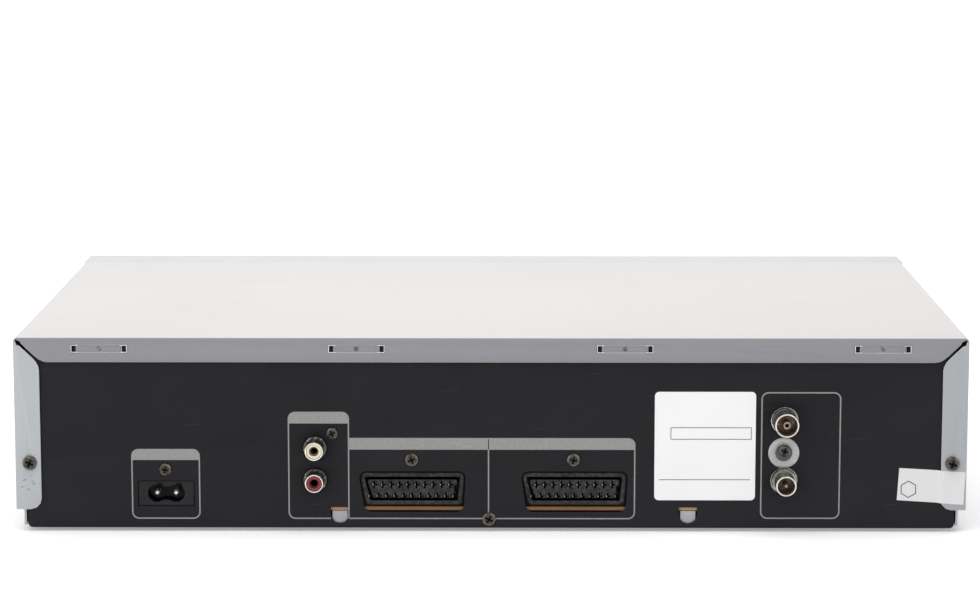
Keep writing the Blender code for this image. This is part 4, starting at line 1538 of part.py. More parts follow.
def make_carriage():
    """Rack slider beside the right plate, its drive gear, and the holder that it carries."""
    nylon = surface("reel_nylon")
    plating = surface("plated_steel")
    x = (BAY_X + SLIDER_X[0], BAY_X + SLIDER_X[1])
    outline = rack_outline(SLIDER_Y[0], SLIDER_Y[1], RACK_PITCH_Z, SLIDER_BOTTOM_Z, DRIVE_Y)
    slot = block(widened(x, CUT_OVERRUN), span(HOLDER_PIN_Y[1], SLOT_HALF * 2),
                 (HOLDER_PIN_Z - LIFT_TRAVEL - SLOT_HALF, HOLDER_PIN_Z + SLOT_HALF))
    piece("carriage_slider", prism(outline, "X", x), nylon, (CUT, slot),
          origin=(x[0], SLIDER_Y[0], SLIDER_BOTTOM_Z))
    turn = -math.pi / 2 + math.pi / DRIVE_TEETH
    centre = (DRIVE_Y, DRIVE_Z)
    heart = x[0] + SLIDER_THICKNESS / 2
    gear = prism(gear_outline(centre, DRIVE_TEETH, GEAR_MODULE, TOOTH_BACKLASH, turn), "X", x)
    hub = rod(centre, DRIVE_HUB_RADIUS, (heart, x[1] + DRIVE_HUB_HEIGHT), "X", FEW_FACETS)
    axle = rod(centre, DRIVE_AXLE_RADIUS, (BAY_X + PLATE_IN - SIDE_PLATE_SHEET, heart), "X", FEW_FACETS)
    piece("drive_gear", gear, nylon, (JOIN, hub), (JOIN, axle), origin=(x[0], DRIVE_Y, DRIVE_Z))
    outer = HOLDER_HALF + HOLDER_SHEET
    wide = (BAY_X - outer, BAY_X + outer)
    box = block(wide, HOLDER_Y, HOLDER_Z)
    inner_z = (HOLDER_Z[0] + HOLDER_SHEET, HOLDER_Z[1] - HOLDER_SHEET)
    room = block((BAY_X - HOLDER_HALF, BAY_X + HOLDER_HALF), widened(HOLDER_Y, CUT_OVERRUN), inner_z)
    lip_edge = outer - HOLDER_LIP
    gap = block((BAY_X - lip_edge, BAY_X + lip_edge), widened(HOLDER_Y, CUT_OVERRUN),
                (HOLDER_Z[0] - CUT_OVERRUN, inner_z[0] + CUT_OVERRUN))
    window_x = span(BAY_X, HOLDER_HALF * 2 * HOLDER_WINDOW_SHARE)
    window = prism(rounded(window_x, widened(HOLDER_Y, -HOLDER_WINDOW_MARGIN), HOLDER_PIN_SETBACK / 2), "Z",
                   (inner_z[1] - CUT_OVERRUN, HOLDER_Z[1] + CUT_OVERRUN))
    pins = []
    root = outer - HOLDER_SHEET / 2
    for y in HOLDER_PIN_Y:
        reach = SLIDER_X[1] if y == HOLDER_PIN_Y[1] else PLATE_OUT
        for ends in ((BAY_X - PLATE_OUT, BAY_X - root), (BAY_X + root, BAY_X + reach)):
            pins.append(rod((y, HOLDER_PIN_Z), HOLDER_PIN_RADIUS, ends, "X", FEW_FACETS))
    piece("cassette_holder", box, plating, (CUT, room), (CUT, gap), (CUT, window), (JOIN, together(*pins)),
          origin=(BAY_X, HOLDER_PIN_Y[1], HOLDER_PIN_Z))


def main():
    for old in list(bpy.data.objects):
        bpy.data.objects.remove(old)
    make_cover()
    make_chassis()
    make_rear_panel()
    make_feet()
    make_cover_screws()
    make_ac_inlet()
    make_audio_sockets()
    make_av_sockets()
    make_tuner()
    make_boards()
    make_fascia()
    make_display_window()
    make_cassette_door()
    make_av_flap()
    make_front_jacks()
    make_keys()
    make_rocker()
    make_deck()
    make_guides()
    make_drum()
    make_capstan()
    make_pinch_arm()
    make_reels()
    make_loading_drive()
    make_heads()
    make_housing()
    make_carriage()


main()
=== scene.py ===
"""Video cassette recorder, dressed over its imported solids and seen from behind.

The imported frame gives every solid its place. This script adds the finishes, the print and labels
of the rear panel, the screws, the sockets' fine parts and the front's symbols, and it lights the
recorder on a plain white floor. Lengths are in metres; X grows to the left as seen from behind,
Y grows towards the rear and Z grows upwards.
"""

import json
import math

import bmesh
import bpy
from bpy.props import FloatProperty, FloatVectorProperty, PointerProperty
from bpy.types import Operator, Panel, PropertyGroup
from mathutils import Matrix, Vector

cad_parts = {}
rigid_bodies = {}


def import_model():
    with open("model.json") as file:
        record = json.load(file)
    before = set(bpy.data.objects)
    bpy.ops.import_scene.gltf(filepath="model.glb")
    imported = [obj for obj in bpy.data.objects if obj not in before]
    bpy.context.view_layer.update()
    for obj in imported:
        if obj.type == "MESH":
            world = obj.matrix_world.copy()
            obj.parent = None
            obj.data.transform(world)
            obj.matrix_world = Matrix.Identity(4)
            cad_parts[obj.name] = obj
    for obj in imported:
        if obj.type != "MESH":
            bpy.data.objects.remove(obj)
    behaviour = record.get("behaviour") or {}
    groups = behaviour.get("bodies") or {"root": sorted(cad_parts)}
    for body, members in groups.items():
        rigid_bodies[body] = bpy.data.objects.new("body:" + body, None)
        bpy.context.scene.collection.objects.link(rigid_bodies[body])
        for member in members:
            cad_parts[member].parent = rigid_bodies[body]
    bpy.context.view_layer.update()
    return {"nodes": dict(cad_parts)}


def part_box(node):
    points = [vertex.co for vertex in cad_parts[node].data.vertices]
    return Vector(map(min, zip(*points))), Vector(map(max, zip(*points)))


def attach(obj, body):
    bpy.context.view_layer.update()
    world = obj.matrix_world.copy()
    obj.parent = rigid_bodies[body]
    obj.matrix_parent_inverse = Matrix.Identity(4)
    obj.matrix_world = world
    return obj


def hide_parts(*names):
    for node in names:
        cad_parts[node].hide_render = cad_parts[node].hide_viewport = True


bl_info = {
    "name": "Video Cassette Recorder",
    "version": (1, 0, 0),
    "blender": (4, 5, 0),
    "location": "View3D > Sidebar > Recorder",
    "description": "Finishes, print, labels, screws and sockets for a video cassette recorder",
    "category": "Object",
}

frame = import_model()
NODES = frame["nodes"]
SLOTS = {name: node.material_slots[0].name for name, node in NODES.items()}

# Places taken from the frame
PANEL_LOW, PANEL_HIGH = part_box("rear_panel")
COVER_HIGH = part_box("top_cover")[1]
PANEL_FACE = PANEL_HIGH.y
FLANGE_FACE = COVER_HIGH.y
FASCIA_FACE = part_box("front_panel")[0].y

# Photograph and camera
PHOTO_WIDTH = 980
FOCAL_PIXELS = 3147
SENSOR_WIDTH = 0.036
CAMERA_PLACE = Vector((-0.0077, 1.5254, 0.3215))
CAMERA_PITCH = math.radians(8.886)
CAMERA_YAW = math.radians(0.330)
CAMERA_CLIP = (0.05, 50)

# Floor, whose glow rises from the recorder outwards, and lamps: place, size, share of the power
FLOOR_SIZE = 40.0
FLOOR_COLOUR = (0.75, 0.75, 0.75)
FLOOR_ROUGHNESS = 0.9
FLOOR_GLOW_NEAR = 0.26
FLOOR_GLOW_FAR = 0.72
FLOOR_GLOW_REACH = (0.25, 0.75)
LAMPS = {
    "overhead_lamp": (Vector((0.2, 0.35, 1.9)), (2.4, 1.6), 1.0),
    "left_lamp": (Vector((1.7, 2.0, 1.1)), (1.2, 1.2), 0.5),
    "front_lamp": (Vector((-0.4, -2.0, 1.2)), (1.6, 1.0), 0.5),
}
LAMP_AIM = Vector((0, 0, 0.05))

# Cover: the lances punched into its upper flange
LANCE_X = (0.1763, 0.0604, -0.0604, -0.1763)
LANCE_Z = (0.0824, 0.0858)
LANCE_HALF = 0.0126
LANCE_CLIP = 0.0032
LANCE_LINE = 0.0005
LANCE_DIMPLE_RADIUS = 0.00125
LANCE_DIMPLE_SINK = 0.0005
LANCE_DIMPLE_TOP = 0.6

# Rear panel: how far its lower edge reaches down, and where its rounded corners begin
PANEL_SKIRT = 0.0013
PANEL_CORNER_X = 0.2040
PANEL_CORNER_RISE = 0.0028

# Printed frames on the rear panel, each low and high along X, low and high along Z, and the
# lower edge of its filled heading where it has one
MAINS_FRAME = (0.1319, 0.1624, 0.0060, 0.0377, 0.0329)
AUDIO_FRAME = (0.0643, 0.0914, 0.0060, 0.0549, 0.0498)
AV_FRAME = (-0.0651, 0.0643, 0.0060, 0.0429, 0.0378)
AERIAL_FRAME = (-0.1577, -0.1223, 0.0063, 0.0641, None)
AV_DIVIDER_X = 0.0010
DIVIDER_GAP = 0.0004
NOTCH_EDGE_X = 0.0725
FRAME_CORNER = 0.0029

# Labels
RATING_LABEL = (-0.1196, -0.0740, 0.0146, 0.0645)
RATING_CORNER = 0.0020
RATING_RULE_Z = 0.0241
RATING_RULE_MARGIN = 0.0022
RATING_BOX = (-0.1178, -0.0812, 0.0426, 0.0482)
LABEL_LINE = 0.0003
SEAL_CORNERS = ((-0.1847, 0.0296), (-0.2145, 0.0279), (-0.2138, 0.0129), (-0.1838, 0.0148))
SEAL_GRID = (40, 12)
SEAL_STEP_X = -0.2033
SEAL_STEP_LEAD = 0.0016
SEAL_STEP_LENGTH = 0.0022
SEAL_BADGE = (-0.1890, 0.0198)
SEAL_BADGE_RADIUS = 0.0040
SEAL_BADGE_SIDES = 6
BADGE_LINE = 0.00045

# Screws on the rear panel: X, Z and head radius
PANEL_SCREWS = (
    (0.1473, 0.0286, 0.0027),
    (0.0717, 0.0453, 0.0026),
    (0.0358, 0.0332, 0.0029),
    (-0.0374, 0.0332, 0.0029),
    (0.0008, 0.0059, 0.0030),
)
EARTH_SCREW = (-0.1327, 0.0374, 0.0026)
EARTH_SCREW_SEED = 12
EARTH_RING = (-0.1324, 0.0365)
EARTH_RING_PROFILE = ((0.0070, -0.0001), (0.0070, 0.0001), (0.0066, 0.0004), (0.0058, 0.0004),
                      (0.0043, 0.0001), (0.0039, -0.0002), (0.0, -0.0002))
EARTH_INSET_RADIUS = 0.0039
COVER_SCREWS = ("cover_screw_left", "cover_screw_right")
COVER_SCREW_SEED = 20

# Screw heads, as shares of the height, the cross's length or the squared radius
DOME_FALL = 0.12
RIM_FALL = 0.36
RIM_POWER = 4
CROSS_WIDTH = 0.27
CROSS_DEPTH = 1.2
RECESS_TOP = 0.86
RECESS_REACH = 0.55

# AV sockets: each row's height and count, then the blocks cut out and the spring leaves
CONTACT_PITCH = 0.00381
CONTACT_ROWS = ((0.0215, 10), (0.0162, 11))
CONTACT_LEAF = (0.0004, 0.0012, 0.0006)
CONTACT_SHIFT = 0.0006
SLOT_ARM = (0.0028, 0.0050, 0.0008)
AV_EDGE_RADIUS = 0.00012

# Mains inlet: the two keyways over the pins
MAINS_KEYWAY = (0.0026, 0.0060, 0.0022)
MAINS_KEYWAY_SHIFT = (-0.0016, 0.0037)

# Round sockets. A rim is given as steps from the outer edge and from the bore at the tip.
AUDIO_SHELL_RADIUS = 0.00415
AUDIO_SHELL_WALL = 0.0006
AUDIO_COLLAR_HEIGHT = 0.0007
AUDIO_BORE_RADIUS = 0.0016
AUDIO_INSULATOR_SINK = 0.0006
AERIAL_RADII = {"rf_in_socket": 0.0054, "rf_out_socket": 0.0046}
AERIAL_WALL = 0.0007
AERIAL_FLANGE_HEIGHT = 0.0016
AERIAL_DEPTH = 0.0080
AERIAL_LINING = 0.00025
OUTER_RIM = ((0, -0.0005), (-0.0001, -0.0001), (-0.0003, 0))
INNER_RIM = ((0.0001, -0.0001), (0, -0.0004))

# Front panel
KEY_SYMBOL_Z = 0.0370
KEY_SYMBOL_SIZE = 0.0032
RECORD_DOT_STEPS = 24
TRANSPORT_KEYS = ("eject_button", "rewind_button", "play_button", "fast_forward_button",
                  "stop_button", "record_button")
DIGIT_HEIGHT = 0.0110
DIGIT_WIDTH = 0.0066
DIGIT_PLACES = (0.1290, 0.1190, 0.1050, 0.0950)
DIGIT_LINE = 0.0009
DIGIT_SLANT = 0.12
DIGIT_PROUD = 0.00008
DIGIT_GAP = 1.6

ROUND_STEPS = 48
CORNER_STEPS = 6
MERGE_DISTANCE = 1e-6
FLAT_ANGLE = math.radians(0.6)
EDGE_ANGLE = math.radians(32)
SMOOTH_ANGLE = math.radians(38)
SINK = 0.0001
SOFT = 0.0002
FAR = 1.0


def colour_setting(name, description, default):
    return FloatVectorProperty(name=name, description=description, subtype="COLOR", size=3,
                               min=0, max=1, default=default)


def length_setting(name, description, default, low):
    return FloatProperty(name=name, description=description, unit="LENGTH", default=default,
                         min=low)


class FinishSettings(PropertyGroup):
    """Colours of the recorder's main surfaces."""

    cover_colour: colour_setting("Cover", "Satin paint on the cover's top and sides",
                                 (0.60, 0.575, 0.577))
    # Painted shade: the rear folds take a darker colour than the top, standing for how the light
    # falls on them.
    flange_colour: colour_setting("Side flanges", "The same paint where it was sprayed on the "
                                  "rear folds", (0.455, 0.474, 0.490))
    # Painted shade: the upper rear fold darker still, for the same reason.
    upper_flange_colour: colour_setting("Upper flange", "The thinner, darker coat on the upper "
                                        "rear fold", (0.255, 0.260, 0.280))
    panel_colour: colour_setting("Rear panel", "Textured paint of the rear panel",
                                 (0.0128, 0.0122, 0.0155))
    print_colour: colour_setting("Rear print", "Ink of the frames and headings",
                                 (0.290, 0.290, 0.282))
    fascia_colour: colour_setting("Front panel", "Moulded plastic of the front",
                                  (0.560, 0.550, 0.556))


class PrintSettings(PropertyGroup):
    """Sizes of the printed frames and the labels."""

    line_width: length_setting("Line width", "Width of a printed line", 0.0006, 0.0001)
    ink_thickness: length_setting("Ink thickness", "How far print stands proud",
                                  0.00005, 0.00001)
    label_thickness: length_setting("Label thickness", "Thickness of a stuck label",
                                    0.00012, 0.00002)


class FittingSettings(PropertyGroup):
    """Sizes of the screws and of the rounded edges."""

    head_height: length_setting("Screw head height", "Height of a pan head over the panel",
                                0.0016, 0.0002)
    recess_share: FloatProperty(
        name="Cross recess", description="Length of the cross as a share of the head's diameter",
        subtype="FACTOR", default=0.58, min=0.1, max=0.9)
    edge_radius: length_setting("Edge radius", "Rounding of the folded steel's edges",
                                0.0003, 0.00005)
    moulding_radius: length_setting("Moulding radius", "Rounding of the moulded parts' edges",
                                    0.0004, 0.00005)


class StageSettings(PropertyGroup):
    """Light on the recorder."""

    lamp_power: FloatProperty(
        name="Lamp power", description="Power of the overhead lamp", unit="POWER",
        default=34.0, min=0)
    sky_strength: FloatProperty(
        name="Sky strength", description="Strength of the even light from all round",
        default=0.50, min=0)


class Tree:
    """A node tree that is written as nested calls."""

    def __init__(self, tree):
        self.tree = tree

    def node(self, kind, links=None, **values):
        """A node: its properties by name, then its inputs' links and constants."""
        node = self.tree.nodes.new(kind)
        for name, value in values.items():
            setattr(node, name, value)
        for name, value in (links or {}).items():
            self.feed(node.inputs[name], value)
        return node

    def feed(self, socket, value):
        """Link an output to a socket, or set a constant on it."""
        if isinstance(value, bpy.types.NodeSocket):
            self.tree.links.new(value, socket)
        elif value is not None:
            socket.default_value = value

    def math(self, operation, first, second=None):
        return self.node("ShaderNodeMath", {0: first, 1: second}, operation=operation).outputs[0]

    def both(self, first, second):
        return self.math("MULTIPLY", first, second)

    def ranged(self, value, low, high, to_low=0.0, to_high=1.0):
        return self.node("ShaderNodeMapRange", {
            "Value": value, "From Min": low, "From Max": high, "To Min": to_low,
            "To Max": to_high}).outputs["Result"]


class Surface(Tree):
    """One node-built finish, patterned in the piece's own object coordinates."""

    def __init__(self, name, colour, roughness, metallic):
        self.material = bpy.data.materials.new(name + "_finish")
        self.material.use_nodes = True
        super().__init__(self.material.node_tree)
        self.shader = self.tree.nodes["Principled BSDF"]
        self.level("Metallic", metallic)
        self.place = self.node("ShaderNodeTexCoord").outputs["Object"]
        self.colour = (*colour, 1.0)
        self.roughness = roughness
        self.normal = None

    def level(self, name, value):
        """Set a constant on the shader."""
        self.shader.inputs[name].default_value = value

    def stretched(self, stretch):
        """The object coordinates, scaled along each axis."""
        if stretch is None:
            return self.place
        return self.node("ShaderNodeMapping",
                         {"Vector": self.place, "Scale": stretch}).outputs["Vector"]

    def noise(self, scale, detail=2.0, stretch=None):
        return self.node("ShaderNodeTexNoise", {
            "Vector": self.stretched(stretch), "Scale": scale,
            "Detail": detail}).outputs["Fac"]

    def cells(self, scale, output="Distance", stretch=None):
        return self.node("ShaderNodeTexVoronoi", {
            "Vector": self.stretched(stretch), "Scale": scale}).outputs[output]

    def attribute(self, name):
        """A number that the mesh carries on its points."""
        return self.node("ShaderNodeAttribute", attribute_name=name).outputs["Fac"]

    def axis(self, name):
        return self.node("ShaderNodeSeparateXYZ", {0: self.place}).outputs[name]

    def waves(self, pitch):
        """A sine along X with one wave to each pitch."""
        return self.math("SINE", self.math("MULTIPLY", self.axis("X"), 2 * math.pi / pitch))

    def between(self, axis, low, high, soft=SOFT):
        """A mask that is 1 between two places along an axis and fades over soft."""
        place = self.axis(axis)
        rise = self.ranged(place, low - soft, low + soft)
        fall = self.ranged(place, high - soft, high + soft, 1.0, 0.0)
        return self.both(rise, fall)

    def blended(self, mask, colour, blend="MIX"):
        """Lay a colour over the finish where the mask is 1."""
        if not isinstance(colour, bpy.types.NodeSocket):
            colour = (*colour, 1.0)
        self.colour = self.node("ShaderNodeMix", {0: mask, 6: self.colour, 7: colour},
                                data_type="RGBA", blend_type=blend).outputs[2]
        return self

    def mottled(self, scale, amount, detail=3.0, stretch=None):
        """Vary the colour lighter and darker in clouds."""
        cloud = self.ranged(self.noise(scale, detail, stretch), 0.3, 0.7, 1 - amount, 1 + amount)
        return self.blended(1.0, cloud, "MULTIPLY")

    def spangled(self, scale, amount):
        """Vary the colour from crystal to crystal."""
        cell = self.ranged(self.cells(scale, "Color"), 0.0, 1.0, 1 - amount, 1 + amount)
        return self.blended(1.0, cell, "MULTIPLY")

    def stained(self, scale, detail, low, high, colour, stretch=None, within=None):
        """Lay a colour in clouds, all over or within a mask."""
        cloud = self.ranged(self.noise(scale, detail, stretch), low, high)
        return self.blended(cloud if within is None else self.both(cloud, within), colour)

    def specked(self, scale, size, colour, share):
        """Small round specks in some of the cells."""
        dot = self.ranged(self.cells(scale), size, size * 0.6)
        gate = self.ranged(self.noise(scale * 0.31), 1 - share - 0.02, 1 - share + 0.02)
        return self.blended(self.both(dot, gate), colour)

    def scratched(self, cell, colour, turn, share, strength, within=None):
        """Short thin marks, in some of the cells of a grid that is turned about the Y axis."""
        turned = self.node("ShaderNodeMapping", {
            "Vector": self.place, "Rotation": (0, turn, 0), "Scale": cell},
            vector_type="TEXTURE").outputs["Vector"]
        grid = self.node("ShaderNodeTexVoronoi", {"Vector": turned, "Scale": 1.0}).outputs
        mark = self.ranged(grid["Distance"], 0.42, 0.24, 0.0, strength)
        chance = self.node("ShaderNodeSeparateColor", {0: grid["Color"]}).outputs[0]
        mask = self.both(mark, self.math("LESS_THAN", chance, share))
        return self.blended(mask if within is None else self.both(mask, within), colour)

    def roughened(self, scale, amount, detail=2.0, stretch=None):
        self.roughness = self.ranged(self.noise(scale, detail, stretch), 0.3, 0.7,
                                     self.roughness - amount, self.roughness + amount)

    def grained(self, scale, depth, detail=2.0, stretch=None):
        """Raise the surface by a noise."""
        self.raised(self.noise(scale, detail, stretch), depth)

    def raised(self, height, depth):
        self.normal = self.node("ShaderNodeBump", {
            "Strength": 1.0, "Distance": depth, "Height": height,
            "Normal": self.normal}).outputs["Normal"]

    def done(self):
        for name, value in (("Base Color", self.colour), ("Roughness", self.roughness),
                            ("Normal", self.normal)):
            self.feed(self.shader.inputs[name], value)
        return self.material


# Each finish: colour or the setting that holds it, roughness, metallic, the scale and amount of
# its roughness clouds, the scale and depth of its grain, then what is laid over the colour in turn
FINISHES = {
    "cover_paint": ("cover_colour", 0.40, 0.20, (14, 0.04), (1800, 0.000012),
                    ("specked", 90, 0.022, (0.25, 0.25, 0.25), 0.12)),
    # Painted highlight: a light colour for the cover's rounded edges and the lances' punched ends.
    "cover_edge": ((0.78, 0.78, 0.79), 0.34, 0.35, (120, 0.06), (1500, 0.00001),
                   ("mottled", 220, 0.10)),
    "panel_paint": ("panel_colour", 0.52, 0.0, (40, 0.06), (2200, 0.00003, 3.0),
                    ("level", "Specular IOR Level", 0.16),
                    ("mottled", 16, 0.09), ("mottled", 1500, 0.20, 1.0),
                    ("specked", 130, 0.035, (0.10, 0.10, 0.11), 0.30),
                    ("scratched", (0.0130, 0.0130, 0.0008), (0.040, 0.040, 0.043), 0.08, 0.012,
                     0.35)),
    "plated_steel": ((0.39, 0.395, 0.405), 0.40, 0.75, (90, 0.07),
                     (700, 0.00001, 2.0, (0.2, 1.0, 1.0)),
                     ("spangled", 130, 0.07), ("mottled", 18, 0.06)),
    "foot_plastic": ((0.030, 0.030, 0.031), 0.78, 0.0, (80, 0.06), (1600, 0.00004),
                     ("mottled", 120, 0.15), ("specked", 300, 0.10, (0.16, 0.16, 0.15), 0.35)),
    "dark_screw": ((0.060, 0.054, 0.047), 0.34, 0.80, (900, 0.10), (2500, 0.00003),
                   ("specked", 1500, 0.18, (0.28, 0.25, 0.20), 0.24)),
    # Painted shade: the cross recess is near black, standing for the shade inside it.
    "screw_recess": ((0.004, 0.004, 0.004), 0.60, 0.0, (900, 0.08), (2500, 0.00002),
                     ("level", "Specular IOR Level", 0.10), ("mottled", 900, 0.3)),
    "black_moulding": ((0.014, 0.014, 0.017), 0.46, 0.0, (150, 0.06), (2400, 0.00002),
                       ("level", "Specular IOR Level", 0.22)),
    "nickel": ((0.82, 0.81, 0.77), 0.24, 0.75, (300, 0.08), (1200, 0.00001),
               ("mottled", 260, 0.10), ("stained", 340, 3.0, 0.60, 0.76, (0.50, 0.43, 0.33))),
    "jack_plating": ((0.90, 0.86, 0.74), 0.22, 0.80, (300, 0.08), (1200, 0.00001),
                     ("mottled", 260, 0.12)),
    "aerial_shell": ((0.80, 0.77, 0.70), 0.28, 0.85, (260, 0.12), (900, 0.00002),
                     ("mottled", 220, 0.18)),
    "aerial_pin": ((0.36, 0.28, 0.22), 0.32, 0.75, (400, 0.08), (1500, 0.00001),
                   ("mottled", 500, 0.25)),
    "aerial_core": ((0.105, 0.062, 0.040), 0.34, 0.55, (300, 0.08), (1500, 0.00002),
                    # Painted glints: light streaks laid along the lining.
                    ("stained", 420, 2.0, 0.60, 0.70, (0.34, 0.26, 0.19), (1.0, 0.25, 1.0)),
                    ("mottled", 400, 0.2)),
    "bare_metal": ((0.44, 0.44, 0.44), 0.42, 0.55, (240, 0.09), (1500, 0.00003),
                   ("mottled", 300, 0.10), ("mottled", 90, 0.10),
                   ("scratched", (0.0018, 0.0018, 0.0003), (0.70, 0.70, 0.71), 0.4, 0.15, 0.5)),
    "weld_spot": ((0.15, 0.15, 0.155), 0.48, 0.45, (700, 0.12), (1800, 0.00004),
                  ("mottled", 900, 0.55, 4.0)),
    "shaded_metal": ((0.085, 0.085, 0.088), 0.42, 0.6, (400, 0.09), (1500, 0.00003),
                     ("mottled", 500, 0.25)),
    "white_insulator": ((0.80, 0.74, 0.56), 0.42, 0.0, (300, 0.06), (1800, 0.00001),
                        ("mottled", 500, 0.07)),
    "red_insulator": ((0.215, 0.022, 0.034), 0.42, 0.0, (300, 0.06), (1800, 0.00001),
                      ("mottled", 500, 0.16)),
    "socket_moulding": ((0.0035, 0.0035, 0.004), 0.50, 0.0, (200, 0.08), (2600, 0.00003),
                        ("level", "Specular IOR Level", 0.12), ("mottled", 90, 0.15)),
    "contact_metal": ((0.30, 0.295, 0.28), 0.34, 0.9, (800, 0.10), (3000, 0.00001),
                      ("mottled", 900, 0.25)),
    "tinned_steel": ((0.64, 0.64, 0.62), 0.33, 0.92, (60, 0.09), (500, 0.00001),
                     ("mottled", 35, 0.10), ("spangled", 90, 0.04)),
    "board_laminate": ((0.50, 0.31, 0.14), 0.50, 0.0, (120, 0.08), (1100, 0.00002),
                       ("mottled", 30, 0.08), ("mottled", 1400, 0.10, 1.0, (1.0, 1.0, 6.0))),
    "lamination_steel": ((0.20, 0.195, 0.19), 0.46, 0.6, (90, 0.08), None,
                         ("mottled", 60, 0.2)),
    "display_glass": ((0.035, 0.055, 0.055), 0.12, 0.0, (60, 0.04), None,
                      ("mottled", 80, 0.15), ("level", "Coat Weight", 0.6)),
    "fascia_plastic": ("fascia_colour", 0.40, 0.20, (30, 0.05), (2600, 0.00001),
                       ("mottled", 12, 0.03), ("mottled", 2400, 0.05, 1.0),
                       ("specked", 110, 0.04, (0.62, 0.62, 0.62), 0.2)),
    "smoked_pane": ((0.012, 0.012, 0.015), 0.07, 0.0, (20, 0.03), (30, 0.00001),
                    ("level", "Coat Weight", 0.5), ("level", "Coat Roughness", 0.04),
                    ("level", "Alpha", 0.80),
                    ("scratched", (0.0160, 0.0160, 0.0005), (0.12, 0.12, 0.13), 0.2, 0.04, 0.3),
                    ("mottled", 30, 0.2)),
    "door_plastic": ((0.055, 0.056, 0.062), 0.34, 0.15, (40, 0.05), (2600, 0.00001),
                     ("mottled", 14, 0.06), ("mottled", 2200, 0.08, 1.0),
                     ("specked", 100, 0.04, (0.20, 0.20, 0.20), 0.2)),
    "key_plastic": ((0.50, 0.50, 0.515), 0.32, 0.45, (120, 0.06), (2600, 0.00001),
                    ("mottled", 80, 0.05), ("mottled", 2600, 0.05, 1.0)),
    "guide_brass": ((0.70, 0.53, 0.26), 0.32, 0.92, (220, 0.08), (900, 0.00001),
                    ("mottled", 160, 0.10),
                    ("scratched", (0.0006, 0.0006, 0.006), (0.9, 0.75, 0.45), 0, 0.2, 0.4)),
    "drum_alloy": ((0.68, 0.68, 0.69), 0.24, 0.96, (700, 0.05, 1.0, (0.1, 0.1, 1.0)), None),
    "ground_steel": ((0.66, 0.66, 0.68), 0.20, 1.0, (900, 0.06, 1.0, (1.0, 1.0, 0.1)),
                     (1200, 0.000004), ("mottled", 90, 0.05)),
    "motor_alloy": ((0.48, 0.48, 0.50), 0.38, 0.88, (160, 0.08), (800, 0.00001),
                    ("mottled", 90, 0.08), ("specked", 200, 0.06, (0.2, 0.2, 0.2), 0.3)),
    "roller_rubber": ((0.028, 0.028, 0.029), 0.66, 0.0, (200, 0.07), (1800, 0.00002),
                      ("mottled", 200, 0.18)),
    "reel_nylon": ((0.74, 0.73, 0.68), 0.46, 0.0, (140, 0.06), (1500, 0.00001),
                   ("mottled", 90, 0.04), ("specked", 260, 0.05, (0.45, 0.43, 0.38), 0.3)),
    "head_steel": ((0.54, 0.54, 0.56), 0.28, 0.94, (220, 0.07), (900, 0.000008),
                   ("mottled", 140, 0.07),
                   ("scratched", (0.0006, 0.0006, 0.006), (0.8, 0.8, 0.8), 0, 0.2, 0.4)),
    "rear_ink": ("print_colour", 0.60, 0.0, (300, 0.06), (2500, 0.00001),
                 ("mottled", 700, 0.08), ("specked", 520, 0.10, (0.12, 0.12, 0.12), 0.34)),
    "label_paper": ((0.93, 0.93, 0.925), 0.38, 0.0, (90, 0.05), (500, 0.000006),
                    ("mottled", 45, 0.012), ("mottled", 900, 0.010),
                    ("specked", 170, 0.035, (0.50, 0.48, 0.44), 0.22)),
    "label_ink": ((0.035, 0.035, 0.036), 0.5, 0.0, (500, 0.08), (1500, 0.000005),
                  ("mottled", 900, 0.3)),
    "symbol_ink": ((0.05, 0.05, 0.052), 0.5, 0.0, (500, 0.08), (1500, 0.000005),
                   ("mottled", 900, 0.25)),
    "unlit_segment": ((0.16, 0.21, 0.20), 0.55, 0.0, (400, 0.08), (1800, 0.00001),
                      ("mottled", 900, 0.15)),
}


def cover_paint(paint):
    """Painted shade on the rear folds: darker than the top, darker still towards the right,
    darkest on the upper fold above the slanted slits; and a scuffed spot.
    """
    # Painted shade: the rear folds darker than the top.
    rear = paint.between("Y", FLANGE_FACE - 0.0008, FAR)
    paint.blended(rear, settings().flange_colour)
    # Painted shade: the rear folds darken towards the right.
    right = paint.ranged(paint.axis("X"), -0.19, 0.19)
    paint.blended(paint.both(rear, paint.math("SUBTRACT", 1.0, right)), (0.84, 0.84, 0.845),
                  "MULTIPLY")
    # Painted shade: the upper fold, above the slanted slits, darkest.
    from_side = paint.math("SUBTRACT", COVER_HIGH.x, paint.math("ABSOLUTE", paint.axis("X")))
    from_top = paint.math("SUBTRACT", COVER_HIGH.z, paint.axis("Z"))
    above = paint.ranged(paint.math("SUBTRACT", from_side, from_top), -SOFT, SOFT)
    paint.blended(paint.both(rear, above), settings().upper_flange_colour)
    paint.mottled(9, 0.015).mottled(2600, 0.05, 1.0)
    scuffs = paint.both(paint.between("X", 0.2040, 0.2140, 0.0010),
                        paint.between("Z", 0.0190, 0.0260, 0.0010))
    paint.scratched((0.0030, 0.0030, 0.0006), (0.10, 0.10, 0.10), 0.35, 0.45, 0.7,
                    paint.both(rear, scuffs))


def panel_paint(paint):
    """Painted light: lighter towards the bottom, standing for light thrown up from the floor."""
    paint.blended(1.0, paint.ranged(paint.axis("Z"), 0.0, PANEL_HIGH.z, 1.12, 0.82), "MULTIPLY")


def dark_screw(steel):
    """Black-bronze plating, rubbed lighter round the rim: partly wear, partly a painted highlight.
    """
    steel.mottled(700, 0.35)
    rim = steel.ranged(steel.attribute("rim"), 0.45, 0.85)
    # Lighter rim: worn plating and a painted highlight.
    steel.stained(520, 2.0, 0.38, 0.62, (0.27, 0.245, 0.195), within=rim)


